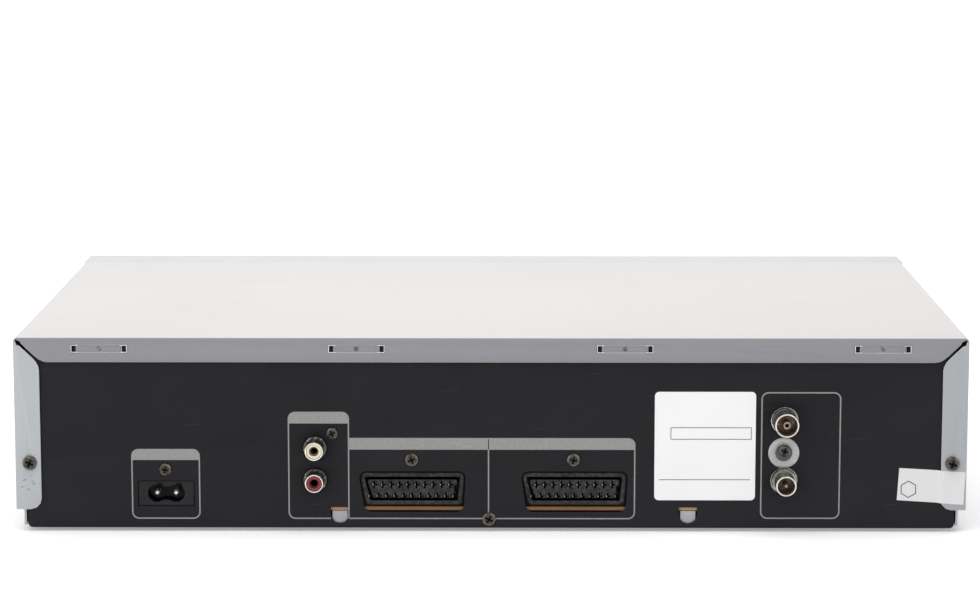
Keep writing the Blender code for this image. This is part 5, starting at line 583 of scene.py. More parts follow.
def black_moulding(plastic):
    """Unlit inside the mains inlet's hollow."""
    plastic.mottled(60, 0.12).specked(420, 0.05, (0.07, 0.07, 0.07), 0.30)
    sunk = plastic.both(plastic.between("Y", 0.100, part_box("ac_inlet")[1].y - 0.0009),
                        plastic.between("X", MAINS_FRAME[0], MAINS_FRAME[1]))
    plastic.blended(sunk, (0.0015, 0.0015, 0.0015))


def jack_plating(metal):
    """Painted reflection on the sides behind the bright rims: dark, with light streaks, standing
    for the dark panel mirrored in them.
    """
    side = metal.between("Y", -FAR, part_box("audio_shell_left")[1].y - 0.0009)
    metal.blended(side, (0.085, 0.082, 0.076))
    metal.stained(700, 2.0, 0.56, 0.66, (0.42, 0.40, 0.35), (1.0, 0.12, 1.0), side)


def aerial_shell(metal):
    """Browned, stained sides behind the bright rim."""
    side = metal.between("Y", -FAR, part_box("rf_in_socket")[1].y - 0.0008)
    metal.blended(side, (0.33, 0.32, 0.30))
    metal.stained(260, 4.0, 0.48, 0.66, (0.115, 0.100, 0.085), within=side)


def bore_mask(plastic):
    """The part of an insulator that lies deep in its bore, darkened there as painted shade."""
    return plastic.between("Y", 0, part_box("audio_insulator_left")[1].y - 0.0004, SINK)


def white_insulator(plastic):
    # Painted shade deep in the bore.
    plastic.blended(bore_mask(plastic), (0.20, 0.14, 0.08))


def red_insulator(plastic):
    # Painted shade deep in the bore.
    plastic.blended(bore_mask(plastic), (0.07, 0.010, 0.014))


def socket_moulding(plastic):
    """Greyer, in clouds, on what faces out."""
    front = plastic.between("Y", PANEL_FACE - 0.0010, FAR, 0.00015)
    grey_clouds = plastic.ranged(plastic.noise(620, 4.0), 0.38, 0.66, 0.35, 1.0)
    plastic.blended(plastic.both(front, grey_clouds), (0.056, 0.056, 0.054))


def board_laminate(board):
    """Green-brown tracks, and a darker edge where the AV sockets shade it."""
    ways = board.ranged(board.cells(95, stretch=(1.0, 2.2, 1.0)), 0.42, 0.50)
    face = board.between("Z", 0.0110, FAR, SINK)
    board.blended(board.both(board.both(ways, face), 0.55), (0.20, 0.16, 0.05))
    board.blended(board.both(board.between("X", -0.0655, 0.0630, 0.0003),
                             board.between("Y", PANEL_FACE - 0.006, FAR, 0.0003)),
                  (0.215, 0.105, 0.036))


def lamination_steel(core):
    """A stack of thin sheets: fine dark lines across the core."""
    line = core.waves(0.0007)
    core.blended(core.ranged(line, 0.2, 0.9, 0.0, 0.7), (0.05, 0.05, 0.05))
    core.raised(line, 0.00004)


def display_glass(glass):
    """The fine grid seen behind the tube's glass."""
    glass.blended(glass.ranged(glass.waves(0.0006), 0.3, 0.9, 0.0, 0.6), (0.09, 0.12, 0.12))


def drum_alloy(alloy):
    """Fine rings from the lathe."""
    rings = alloy.noise(2600, 1.0, (0.05, 0.05, 1.0))
    alloy.mottled(50, 0.04).blended(alloy.ranged(rings, 0.5, 0.7, 0.0, 0.3), (0.50, 0.50, 0.51))
    alloy.raised(rings, 0.000006)


def label_paper(paper):
    """Greyer on the seal than on the rating label."""
    seal = paper.between("X", -FAR, RATING_LABEL[0] - 0.02, 0.001)
    paper.blended(seal, (0.76, 0.76, 0.765))


OWN_MASKS = {add.__name__: add for add in (
    cover_paint, panel_paint, dark_screw, black_moulding, jack_plating, aerial_shell,
    white_insulator, red_insulator, socket_moulding, board_laminate, lamination_steel,
    display_glass, drum_alloy, label_paper)}
made_finishes = {}


def settings():
    return bpy.context.scene.recorder_finish


def finish(name):
    """The finish of that name, made once: its own masks first, then the steps of its row."""
    if name not in made_finishes:
        colour, roughness, metallic, clouds, grain, *steps = FINISHES[name]
        if isinstance(colour, str):
            colour = getattr(settings(), colour)
        surface = Surface(name, colour, roughness, metallic)
        if name in OWN_MASKS:
            OWN_MASKS[name](surface)
        for step, *values in steps:
            getattr(surface, step)(*values)
        surface.roughened(*clouds)
        if grain:
            surface.grained(*grain)
        made_finishes[name] = surface.done()
    return made_finishes[name]


def body_of(node):
    """The name of the body that carries a node."""
    return NODES[node].parent.name.partition(":")[2]


def linked(name, data):
    """A new object with that data, in the scene."""
    thing = bpy.data.objects.new(name, data)
    bpy.context.scene.collection.objects.link(thing)
    return thing


def as_mesh(bm, name):
    """The bmesh as a mesh; the bmesh is freed."""
    mesh = bpy.data.meshes.new(name)
    bm.to_mesh(mesh)
    bm.free()
    return mesh


def solid_piece(name, bm, surface, replaced=()):
    """Turn a bmesh into a finished piece that rides on the chassis."""
    bmesh.ops.recalc_face_normals(bm, faces=bm.faces[:])
    return finished_piece(name, as_mesh(bm, name), surface, replaced=replaced)


def finished_piece(name, mesh, surface, body="chassis", replaced=()):
    """Give a mesh its object, finish, body and the nodes that it stands for."""
    mesh.name = name
    mesh.shade_smooth()
    mesh.set_sharp_from_angle(angle=SMOOTH_ANGLE)
    surfaces = [surface] if isinstance(surface, str) else surface
    slots = [min(face.material_index, len(surfaces) - 1) for face in mesh.polygons]
    mesh.materials.clear()
    for each in surfaces:
        mesh.materials.append(finish(each))
    mesh.polygons.foreach_set("material_index", slots)
    piece = linked(name, mesh)
    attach(piece, body)
    if replaced:
        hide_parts(*replaced)
    return piece


def on_circle(centre, radius, turn):
    return centre[0] + radius * math.cos(turn), centre[1] + radius * math.sin(turn)


def rounded_loop(low_x, high_x, low_z, high_z, radii):
    """A rectangle's outline; radii are of the low-low, high-low, high-high, low-high corners."""
    corners = ((low_x, low_z, 180), (high_x, low_z, 270), (high_x, high_z, 0), (low_x, high_z, 90))
    loop = []
    for (x, z, start), radius in zip(corners, radii):
        centre = (x + (radius if x == low_x else -radius), z + (radius if z == low_z else -radius))
        loop += [on_circle(centre, radius, math.radians(start + 90 * step / CORNER_STEPS))
                 for step in range(CORNER_STEPS + 1)]
    return loop


def add_prism(bm, loop, low_y, high_y):
    """A closed solid between two places along Y from one outline."""
    near, far = ([bm.verts.new((x, y, z)) for x, z in loop] for y in (low_y, high_y))
    bm.faces.new(near)
    bm.faces.new(reversed(far))
    for index in range(len(loop)):
        after = (index + 1) % len(loop)
        bm.faces.new((near[index], far[index], far[after], near[after]))


def add_ring(bm, outer, inner, low_y, high_y):
    """A closed solid between two outlines of as many points."""
    rows = [[bm.verts.new((x, y, z)) for x, z in loop]
            for loop, y in ((outer, low_y), (outer, high_y), (inner, high_y), (inner, low_y))]
    for row, next_row in zip(rows, rows[1:] + rows[:1]):
        for index in range(len(outer)):
            after = (index + 1) % len(outer)
            bm.faces.new((row[index], next_row[index], next_row[after], row[after]))


def add_turned(bm, profile, x, z, steps=ROUND_STEPS):
    """Turn a profile of (radius, y) about a line along Y; a radius of 0 is a pole."""
    rows = []
    for radius, y in profile:
        count = 1 if radius == 0 else steps
        places = (on_circle((x, z), radius, 2 * math.pi * step / steps) for step in range(count))
        rows.append([bm.verts.new((across, y, up)) for across, up in places])
    closed = len(rows[0]) > 1 and len(rows[-1]) > 1
    for row, after in zip(rows, rows[1:] + (rows[:1] if closed else [])):
        for index in range(steps):
            loop = [row[index % len(row)], row[(index + 1) % len(row)],
                    after[(index + 1) % len(after)], after[index % len(after)]]
            corners = list(dict.fromkeys(loop))
            if len(corners) > 2:
                bm.faces.new(corners)
    ends = [row for row in (rows[0], rows[-1]) if len(row) > 1]
    if not closed and ends:
        bm.faces.new(ends[0])


def add_stroke(bm, path, width, low_y, high_y, closed=False):
    """A line of even width along a path in X and Z, as a closed solid."""
    points = [Vector(point) for point in path]
    sides = ([], [])
    for index, here in enumerate(points):
        ways = []
        if closed or index:
            ways.append((here - points[index - 1]).normalized())
        if closed or index < len(points) - 1:
            ways.append((points[(index + 1) % len(points)] - here).normalized())
        way = sum(ways, Vector((0, 0))).normalized()
        across = Vector((-way.y, way.x)) * (width / 2 / max(way.dot(ways[0]), 0.5))
        sides[0].append(here + across)
        sides[1].append(here - across)
    if closed:
        add_ring(bm, *sides, low_y, high_y)
    else:
        add_prism(bm, sides[0] + sides[1][::-1], low_y, high_y)


def turned_piece(name, profile, place, surface, replaced=()):
    """A piece turned about a line along Y through a place in X and Z."""
    bm = bmesh.new()
    add_turned(bm, profile, *place)
    return solid_piece(name, bm, surface, replaced)


def socket_place(node):
    """A round node's axis in X and Z, its radius, and its ends along Y."""
    low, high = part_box(node)
    return ((low.x + high.x) / 2, (low.z + high.z) / 2), (high.x - low.x) / 2, low.y, high.y


def evaluated_mesh(thing, *modifiers):
    """The object's mesh with its modifiers applied; then they and the object are removed."""
    bpy.context.view_layer.update()
    depsgraph = bpy.context.evaluated_depsgraph_get()
    mesh = bpy.data.meshes.new_from_object(thing.evaluated_get(depsgraph))
    for modifier in modifiers:
        thing.modifiers.remove(modifier)
    bpy.data.objects.remove(thing)
    return mesh


def rounded_copy(node, width, surface=None, slots=(), reshape=None):
    """A copy of a node, cut by rows of slots and with its edges rounded, standing for the node."""
    bm = bmesh.new()
    bm.from_mesh(NODES[node].data)
    bmesh.ops.remove_doubles(bm, verts=bm.verts[:], dist=MERGE_DISTANCE)
    if reshape:
        reshape(bm)
    bmesh.ops.dissolve_limit(bm, angle_limit=FLAT_ANGLE, verts=bm.verts[:], edges=bm.edges[:])
    mesh = as_mesh(bm, node + "_edges")
    surface = surface or SLOTS[node]
    for each in [surface] if isinstance(surface, str) else surface:
        mesh.materials.append(finish(each))
    blank = linked(node + "_edges", mesh)
    modifiers = [grow(blank, row_tree(True), Material=mesh.materials[0], **row) for row in slots]
    bevel = blank.modifiers.new("edges", "BEVEL")
    bevel.width = width
    bevel.segments = 2
    bevel.limit_method = "ANGLE"
    bevel.angle_limit = EDGE_ANGLE
    # Where two finishes are given, the rounded edges take the second; on the cover that is a
    # painted highlight.
    bevel.material = -1 if isinstance(surface, str) else 1
    result = evaluated_mesh(blank, *modifiers, bevel)
    return finished_piece(node + "_finished", result, surface, body_of(node), (node,))


def new_tree(name, inputs):
    """A geometry tree, what it is given by name, and the input of its result."""
    group = bpy.data.node_groups.new(name, "GeometryNodeTree")
    sockets = group.interface.new_socket
    sockets("Geometry", in_out="INPUT", socket_type="NodeSocketGeometry")
    for label, kind, default in inputs:
        socket = sockets(label, in_out="INPUT", socket_type="NodeSocket" + kind)
        if default is not None:
            socket.default_value = default
    sockets("Geometry", in_out="OUTPUT", socket_type="NodeSocketGeometry")
    tree = Tree(group)
    return tree, tree.node("NodeGroupInput").outputs, tree.node("NodeGroupOutput").inputs[0]


def screw_tree():
    """Pan heads with a cross recess, one on each point, turned about the rearward axis."""
    tree, given, made = new_tree("screw_heads", (
        ("Radius", "Float", 0.0028), ("Height", "Float", 0.0016),
        ("Recess Share", "Float", 0.58), ("Seed", "Int", 7),
        ("Material", "Material", None), ("Recess Material", "Material", None)))
    radius, height = given["Radius"], given["Height"]
    add, times = tree.node, tree.both

    def vector(**parts):
        return add("ShaderNodeCombineXYZ", parts).outputs[0]

    def place_parts():
        parts = add("ShaderNodeSeparateXYZ",
                    {0: add("GeometryNodeInputPosition").outputs[0]}).outputs
        square = tree.math("ADD", times(parts[0], parts[0]), times(parts[1], parts[1]))
        return parts, tree.math("DIVIDE", square, times(radius, radius))

    def stored(geometry, name, value, domain):
        return add("GeometryNodeStoreNamedAttribute",
                   {"Geometry": geometry, "Name": name, "Value": value},
                   data_type="FLOAT", domain=domain).outputs["Geometry"]

    head = add("GeometryNodeMeshCylinder", {
        "Vertices": ROUND_STEPS, "Side Segments": 2, "Fill Segments": 8, "Radius": radius,
        "Depth": times(height, 2.0)}).outputs["Mesh"]
    parts, share = place_parts()
    fall = tree.math("ADD", times(share, DOME_FALL),
                     times(tree.math("POWER", share, RIM_POWER), RIM_FALL))
    kept = tree.math("MAXIMUM", times(parts[2], tree.math("SUBTRACT", 1.0, fall)), -SINK)
    dome = add("GeometryNodeSetPosition", {
        "Geometry": head, "Offset": vector(Z=tree.math("SUBTRACT", kept, parts[2]))})
    length = times(times(radius, 2.0), given["Recess Share"])
    width = times(length, CROSS_WIDTH)
    cut = add("GeometryNodeMeshBoolean", {"Mesh 1": dome.outputs["Geometry"]},
              operation="DIFFERENCE", solver="EXACT")
    for across, along in ((length, width), (width, length)):
        arm = add("GeometryNodeMeshCube", {
            "Size": vector(X=across, Y=along, Z=times(height, CROSS_DEPTH))})
        raised = add("GeometryNodeTransform", {
            "Geometry": arm.outputs["Mesh"], "Translation": vector(Z=height)})
        tree.feed(cut.inputs["Mesh 2"], raised.outputs["Geometry"])
    parts, share = place_parts()
    sunk = times(tree.math("LESS_THAN", parts[2], times(height, RECESS_TOP)),
                 tree.math("GREATER_THAN", parts[2], 0.0))
    inside = times(tree.math("LESS_THAN", share, RECESS_REACH), sunk)
    marked = stored(cut.outputs["Mesh"], "recess", inside, "FACE")
    rimmed = stored(marked, "rim", share, "POINT")
    spin = add("FunctionNodeRandomValue", {2: 0.0, 3: math.pi / 2, "Seed": given["Seed"]},
               data_type="FLOAT").outputs[1]
    set_out = add("GeometryNodeInstanceOnPoints", {
        "Points": given["Geometry"], "Instance": rimmed,
        "Rotation": vector(X=-math.pi / 2, Y=spin)})
    real = add("GeometryNodeRealizeInstances", {"Geometry": set_out.outputs[0]})
    coat = add("GeometryNodeSetMaterial", {
        "Geometry": real.outputs[0], "Material": given["Material"]})
    # The recess faces take the recess material, a painted shade.
    named = add("GeometryNodeInputNamedAttribute", {"Name": "recess"}, data_type="FLOAT")
    dark = add("GeometryNodeSetMaterial", {
        "Geometry": coat.outputs[0], "Selection": named.outputs["Attribute"],
        "Material": given["Recess Material"]})
    tree.feed(made, dark.outputs[0])
    return tree.tree


def row_tree(cuts):
    """A straight row of blocks, by itself or cut out of the given solid."""
    name = "row_of_slots" if cuts else "row_of_blocks"
    if name in bpy.data.node_groups:
        return bpy.data.node_groups[name]
    tree, given, made = new_tree(name, (
        ("Start", "Vector", None), ("Step", "Vector", None), ("Count", "Int", 10),
        ("Block", "Vector", None), ("Material", "Material", None)))
    line = tree.node("GeometryNodeMeshLine", {
        "Count": given["Count"], "Start Location": given["Start"], "Offset": given["Step"]},
        mode="OFFSET")
    block = tree.node("GeometryNodeMeshCube", {"Size": given["Block"]})
    row = tree.node("GeometryNodeInstanceOnPoints", {
        "Points": line.outputs["Mesh"], "Instance": block.outputs["Mesh"]}).outputs[0]
    if cuts:
        real = tree.node("GeometryNodeRealizeInstances", {"Geometry": row})
        row = tree.node("GeometryNodeMeshBoolean", {
            "Mesh 1": given["Geometry"], "Mesh 2": real.outputs[0]},
            operation="DIFFERENCE", solver="EXACT").outputs["Mesh"]
    whole = tree.node("GeometryNodeRealizeInstances", {"Geometry": row})
    coat = tree.node("GeometryNodeSetMaterial", {
        "Geometry": whole.outputs[0], "Material": given["Material"]})
    tree.feed(made, coat.outputs[0])
    return tree.tree


def grow(thing, tree, **values):
    """Put a tree on an object, with its inputs set by their identifiers."""
    modifier = thing.modifiers.new(tree.name, "NODES")
    modifier.node_group = tree
    sockets = {item.name: item.identifier for item in tree.interface.items_tree
               if item.in_out == "INPUT"}
    for label, value in values.items():
        modifier[sockets[label.replace("_", " ")]] = value
    return modifier


def grown(tree, name, points, **values):
    """The plain mesh that a tree makes on some points."""
    mesh = bpy.data.meshes.new(name)
    mesh.from_pydata(points, [], [])
    seed = linked(name, mesh)
    return evaluated_mesh(seed, grow(seed, tree, **values))


def joined_mesh(meshes):
    """Several plain meshes as one bmesh."""
    bm = bmesh.new()
    for mesh in meshes:
        bm.from_mesh(mesh)
        bpy.data.meshes.remove(mesh)
    return bm


class RECORDER_OT_stage(Operator):
    """Make the white floor, the lamps and the camera at the photograph's viewpoint"""

    bl_idname = "recorder.stage"
    bl_label = "Stage"

    def execute(self, context):
        stage = context.scene.recorder_stage
        self.make_world(context.scene, stage.sky_strength)
        self.make_floor()
        for name, (place, size, share) in LAMPS.items():
            self.make_lamp(name, place, size, stage.lamp_power * share)
        self.make_camera(context.scene)
        context.scene.view_settings.view_transform = "Standard"
        return {"FINISHED"}

    @staticmethod
    def seen_directly(tree):
        """1 for rays that show the background in view, in gloss or through glass."""
        path = tree.node("ShaderNodeLightPath").outputs
        total = path["Is Camera Ray"]
        for name in ("Is Glossy Ray", "Is Transmission Ray"):
            total = tree.math("MAXIMUM", total, path[name])
        return total

    def make_world(self, scene, strength):
        """White where it is seen, and an even light of its own strength elsewhere."""
        world = bpy.data.worlds.new("white_surround")
        world.use_nodes = True
        tree = Tree(world.node_tree)
        tree.tree.nodes.clear()
        light, seen = (tree.node("ShaderNodeBackground", {
            "Strength": level, "Color": (1, 1, 1, 1)}).outputs[0] for level in (strength, 1.0))
        mix = tree.node("ShaderNodeMixShader", {0: self.seen_directly(tree), 1: light, 2: seen})
        tree.node("ShaderNodeOutputWorld", {"Surface": mix.outputs[0]})
        scene.world = world

    def make_floor(self):
        material = bpy.data.materials.new("white_floor")
        material.use_nodes = True
        tree = Tree(material.node_tree)
        place = tree.node("ShaderNodeTexCoord").outputs["Object"]
        away = tree.node("ShaderNodeVectorMath", {0: place}, operation="LENGTH").outputs["Value"]
        glow = tree.ranged(away, *FLOOR_GLOW_REACH, FLOOR_GLOW_NEAR, FLOOR_GLOW_FAR)
        shader = tree.tree.nodes["Principled BSDF"]
        for name, value in (("Base Color", (*FLOOR_COLOUR, 1)), ("Roughness", FLOOR_ROUGHNESS),
                            ("Emission Color", (1, 1, 1, 1)),
                            ("Emission Strength", tree.both(self.seen_directly(tree), glow))):
            tree.feed(shader.inputs[name], value)
        half = FLOOR_SIZE / 2
        mesh = bpy.data.meshes.new("floor")
        mesh.from_pydata([(-half, -half, 0), (half, -half, 0), (half, half, 0), (-half, half, 0)],
                         [], [(0, 1, 2, 3)])
        mesh.materials.append(material)
        linked("floor", mesh)

    def make_lamp(self, name, place, size, power):
        data = bpy.data.lights.new(name, "AREA")
        data.shape = "RECTANGLE"
        data.size, data.size_y = size
        data.energy = power
        lamp = linked(name, data)
        lamp.location = place
        lamp.rotation_euler = (LAMP_AIM - place).to_track_quat("-Z", "Y").to_euler()
        lamp.visible_glossy = False

    def make_camera(self, scene):
        data = bpy.data.cameras.new("photo_camera")
        data.sensor_fit = "HORIZONTAL"
        data.sensor_width = SENSOR_WIDTH * 1000
        data.lens = FOCAL_PIXELS / PHOTO_WIDTH * data.sensor_width
        data.clip_start, data.clip_end = CAMERA_CLIP
        ahead = Vector((math.sin(CAMERA_YAW) * math.cos(CAMERA_PITCH),
                        -math.cos(CAMERA_YAW) * math.cos(CAMERA_PITCH), -math.sin(CAMERA_PITCH)))
        right = Vector((-math.cos(CAMERA_YAW), -math.sin(CAMERA_YAW), 0))
        turn = Matrix((right, right.cross(ahead), -ahead)).transposed()
        camera = linked("photo_camera", data)
        camera.matrix_world = Matrix.Translation(CAMERA_PLACE) @ turn.to_4x4()
        scene.camera = camera


class RECORDER_OT_finishes(Operator):
    """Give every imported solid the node-built finish of its material slot"""

    bl_idname = "recorder.finishes"
    bl_label = "Finishes"

    def execute(self, context):
        for name, node in NODES.items():
            surface = finish("aerial_shell" if name in AERIAL_RADII else SLOTS[name])
            for slot in node.material_slots:
                slot.link = "OBJECT"
                slot.material = surface
        return {"FINISHED"}


class RECORDER_OT_cover(Operator):
    """Round the cover's folds and cut edges, with a painted highlight on the rounded edges, and
    paint highlights round the punched ends of its lances
    """

    bl_idname = "recorder.cover"
    bl_label = "Cover"

    def execute(self, context):
        rounded_copy("top_cover", context.scene.recorder_fitting.edge_radius,
                     ("cover_paint", "cover_edge"))
        rims, welds = bmesh.new(), bmesh.new()
        low, high = LANCE_Z
        spot, sink = LANCE_DIMPLE_RADIUS, FLANGE_FACE - LANCE_DIMPLE_SINK
        profile = [(0, sink - SINK), (spot, sink - SINK), (spot, sink),
                   (spot * LANCE_DIMPLE_TOP, sink + SINK), (0, sink + SINK)]
        for middle in LANCE_X:
            for side in (-1, 1):
                outer = middle + side * LANCE_HALF
                inner = outer - side * LANCE_CLIP
                path = [(inner, low), (outer, low), (outer, high), (inner, high)]
                # Painted highlights: light strokes round each punched end.
                add_stroke(rims, path, LANCE_LINE, FLANGE_FACE - SINK, FLANGE_FACE)
            add_turned(welds, profile, middle, sum(LANCE_Z) / 2, ROUND_STEPS // 2)
        solid_piece("lance_rims", rims, "cover_edge")
        solid_piece("lance_welds", welds, "weld_spot")
        return {"FINISHED"}


class RECORDER_OT_panel(Operator):
    """Round the rear panel's edges and draw its lower edge down to where the photograph has it"""

    bl_idname = "recorder.panel"
    bl_label = "Rear panel"

    def execute(self, context):
        rounded_copy("rear_panel", context.scene.recorder_fitting.edge_radius / 2,
                     reshape=self.lower_edge)
        return {"FINISHED"}

    @staticmethod
    def lower_edge(bm):
        """Move the bottom edge and its two rounded corners down by the skirt."""
        for vert in bm.verts:
            rise = vert.co.z - PANEL_LOW.z
            corner = abs(vert.co.x) > PANEL_CORNER_X and rise < PANEL_CORNER_RISE
            if corner or rise < SINK:
                vert.co.z -= PANEL_SKIRT


class RECORDER_OT_print(Operator):
    """Print the thin frames and filled headings on the rear panel"""

    bl_idname = "recorder.rear_print"
    bl_label = "Rear print"

    def execute(self, context):
        sizes = context.scene.recorder_print
        line, corner = sizes.line_width, FRAME_CORNER
        y = (PANEL_FACE - SINK, PANEL_FACE + sizes.ink_thickness)
        turn = CORNER_STEPS + 1
        bm = bmesh.new()
        for x0, x1, z0, z1, heading in (MAINS_FRAME, AERIAL_FRAME):
            add_stroke(bm, rounded_loop(x0, x1, z0, z1, (corner,) * 4), line, *y, closed=True)
        x0, x1, z0, z1, heading = MAINS_FRAME
        self.add_heading(bm, x0, x1, heading, z1, (0, 0, corner, corner), y)
        x0, x1, z0, z1, heading = AUDIO_FRAME
        loop = rounded_loop(x0, x1, z0, z1, (0, corner, corner, corner))
        add_stroke(bm, [(NOTCH_EDGE_X, z0), *loop[turn:], (x0, z0)], line, *y)
        self.add_heading(bm, x0, x1, heading, z1, (0, 0, corner, corner), y)
        x0, x1, z0, z1, heading = AV_FRAME
        loop = rounded_loop(x0, x1, z0, z1, (corner, 0, 0, corner))
        add_stroke(bm, [(x1, z1), *loop[-turn:], *loop[:turn], (x1, z0)], line, *y)
        gap = DIVIDER_GAP / 2
        self.add_heading(bm, AV_DIVIDER_X + gap, x1, heading, z1, (0, 0, 0, 0), y)
        self.add_heading(bm, x0, AV_DIVIDER_X - gap, heading, z1, (0, 0, 0, corner), y)
        add_stroke(bm, [(AV_DIVIDER_X, z0), (AV_DIVIDER_X, heading)], line, *y)
        solid_piece("rear_print", bm, "rear_ink")
        return {"FINISHED"}

    @staticmethod
    def add_heading(bm, x0, x1, z0, z1, radii, y):
        """A filled band across the top of a frame."""
        loop = rounded_loop(x0, x1, z0, z1, radii)
        kept = [point for index, point in enumerate(loop) if point != loop[index - 1]]
        add_prism(bm, kept, y[0], y[1] + SINK / 10)


class RECORDER_OT_labels(Operator):
    """Stick the bare rating label and the bare seal on the rear"""

    bl_idname = "recorder.labels"
    bl_label = "Labels"

    def execute(self, context):
        thickness = context.scene.recorder_print.label_thickness
        self.make_rating_label(thickness)
        self.make_seal(thickness)
        return {"FINISHED"}

    @staticmethod
    def make_rating_label(thickness):
        x0, x1, z0, z1 = RATING_LABEL
        face = PANEL_FACE + thickness
        bm = bmesh.new()
        add_prism(bm, rounded_loop(x0, x1, z0, z1, (RATING_CORNER,) * 4), PANEL_FACE - SINK, face)
        solid_piece("rating_label", bm, "label_paper")
        ink = (face - SINK, face + thickness / 4)
        margin, half = RATING_RULE_MARGIN, LABEL_LINE / 2
        bm = bmesh.new()
        add_prism(bm, [(x0 + margin, RATING_RULE_Z - half), (x1 - margin, RATING_RULE_Z - half),
                       (x1 - margin, RATING_RULE_Z + half), (x0 + margin, RATING_RULE_Z + half)],
                  *ink)
        x0, x1, z0, z1 = RATING_BOX
        add_ring(bm, rounded_loop(x0, x1, z0, z1, (LABEL_LINE,) * 4),
                 rounded_loop(x0 + LABEL_LINE, x1 - LABEL_LINE, z0 + LABEL_LINE, z1 - LABEL_LINE,
                              (half,) * 4), *ink)
        solid_piece("rating_label_rules", bm, "label_ink")

    @staticmethod
    def make_seal(thickness):
        """A sheet that lies on the panel and steps up over the cover's flange."""
        corners = [Vector(corner) for corner in SEAL_CORNERS]
        across, down = SEAL_GRID
        bm = bmesh.new()
        layers = []
        for lift in (thickness, -SINK):
            rows = []
            for row in range(down + 1):
                left = corners[0].lerp(corners[3], row / down)
                right = corners[1].lerp(corners[2], row / down)
                points = [left.lerp(right, column / across) for column in range(across + 1)]
                rows.append([bm.verts.new((p.x, seal_ground(p.x) + lift, p.y)) for p in points])
            layers.append(rows)
        top, bottom = layers
        for row in range(down):
            for column in range(across):
                for rows in layers:
                    bm.faces.new((rows[row][column], rows[row][column + 1],
                                  rows[row + 1][column + 1], rows[row + 1][column]))
        rim = edge_walk(down, across)
        for (r0, c0), (r1, c1) in zip(rim, rim[1:] + rim[:1]):
            bm.faces.new((top[r0][c0], top[r1][c1], bottom[r1][c1], bottom[r0][c0]))
        solid_piece("seal_sticker", bm, "label_paper")
        bm = bmesh.new()
        turns = [math.radians(30 + 360 / SEAL_BADGE_SIDES * side)
                 for side in range(SEAL_BADGE_SIDES)]
        loops = [[on_circle(SEAL_BADGE, radius, turn) for turn in turns]
                 for radius in (SEAL_BADGE_RADIUS, SEAL_BADGE_RADIUS - BADGE_LINE)]
        add_ring(bm, *loops, PANEL_FACE + thickness / 2, PANEL_FACE + thickness * 1.2)
        solid_piece("seal_sticker_ring", bm, "label_ink")


def seal_ground(x):
    """Height of what lies under the seal: the panel, then a soft step up to the flange."""
    share = min(max((SEAL_STEP_X + SEAL_STEP_LEAD - x) / SEAL_STEP_LENGTH, 0), 1)
    smooth = share * share * (3 - 2 * share)
    return PANEL_FACE + (FLANGE_FACE - PANEL_FACE) * smooth


def edge_walk(down, across):
    """The rim of a grid, row and column by row and column."""
    return ([(0, column) for column in range(across)] + [(row, across) for row in range(down)]
            + [(down, column) for column in range(across, 0, -1)]
            + [(row, 0) for row in range(down, 0, -1)])


class RECORDER_OT_screws(Operator):
    """Drive the cross-head screws of the rear panel, the cover and the earth point"""

    bl_idname = "recorder.screws"
    bl_label = "Screws"

    def execute(self, context):
        fitting = context.scene.recorder_fitting
        height = fitting.head_height
        tree = screw_tree()
        self.fasten("panel_screws", [
            self.head(tree, seed, (x, PANEL_FACE, z), radius, height, fitting)
            for seed, (x, z, radius) in enumerate(PANEL_SCREWS)])
        x, z, radius = EARTH_SCREW
        self.fasten("earth_screw", [self.head(
            tree, EARTH_SCREW_SEED, (x, PANEL_FACE - SINK, z), radius, height, fitting)])
        heads = []
        for seed, node in enumerate(COVER_SCREWS, COVER_SCREW_SEED):
            (x, z), radius, _, tip = socket_place(node)
            heads.append(self.head(tree, seed, (x, FLANGE_FACE, z), radius, tip - FLANGE_FACE,
                                   fitting))
        self.fasten("cover_screw_heads", heads, COVER_SCREWS)
        ring = [(radius, PANEL_FACE + y) for radius, y in EARTH_RING_PROFILE]
        turned_piece("earth_ring", ring, EARTH_RING, "bare_metal")
        # Painted shade: a dark disc in the earth ring's hollow.
        low, high = PANEL_FACE - SINK, PANEL_FACE - SINK / 2
        inset = [(0, low), (EARTH_INSET_RADIUS, low), (EARTH_INSET_RADIUS, high), (0, high)]
        turned_piece("earth_inset", inset, EARTH_RING, "shaded_metal")
        return {"FINISHED"}

    @staticmethod
    def head(tree, seed, place, radius, height, fitting):
        recess = finish("screw_recess")
        mesh = grown(tree, "screw_head", [place], Radius=radius, Height=height, Seed=seed,
                     Recess_Share=fitting.recess_share, Material=finish("dark_screw"),
                     Recess_Material=recess)
        for face in mesh.polygons:
            face.material_index = int(mesh.materials[face.material_index] == recess)
        return mesh

    @staticmethod
    def fasten(name, meshes, replaced=()):
        """One piece of several heads, with the faces of each recess in their own near-black
        finish, a painted shade.
        """
        finished_piece(name, as_mesh(joined_mesh(meshes), name), ("dark_screw", "screw_recess"),
                       replaced=replaced)


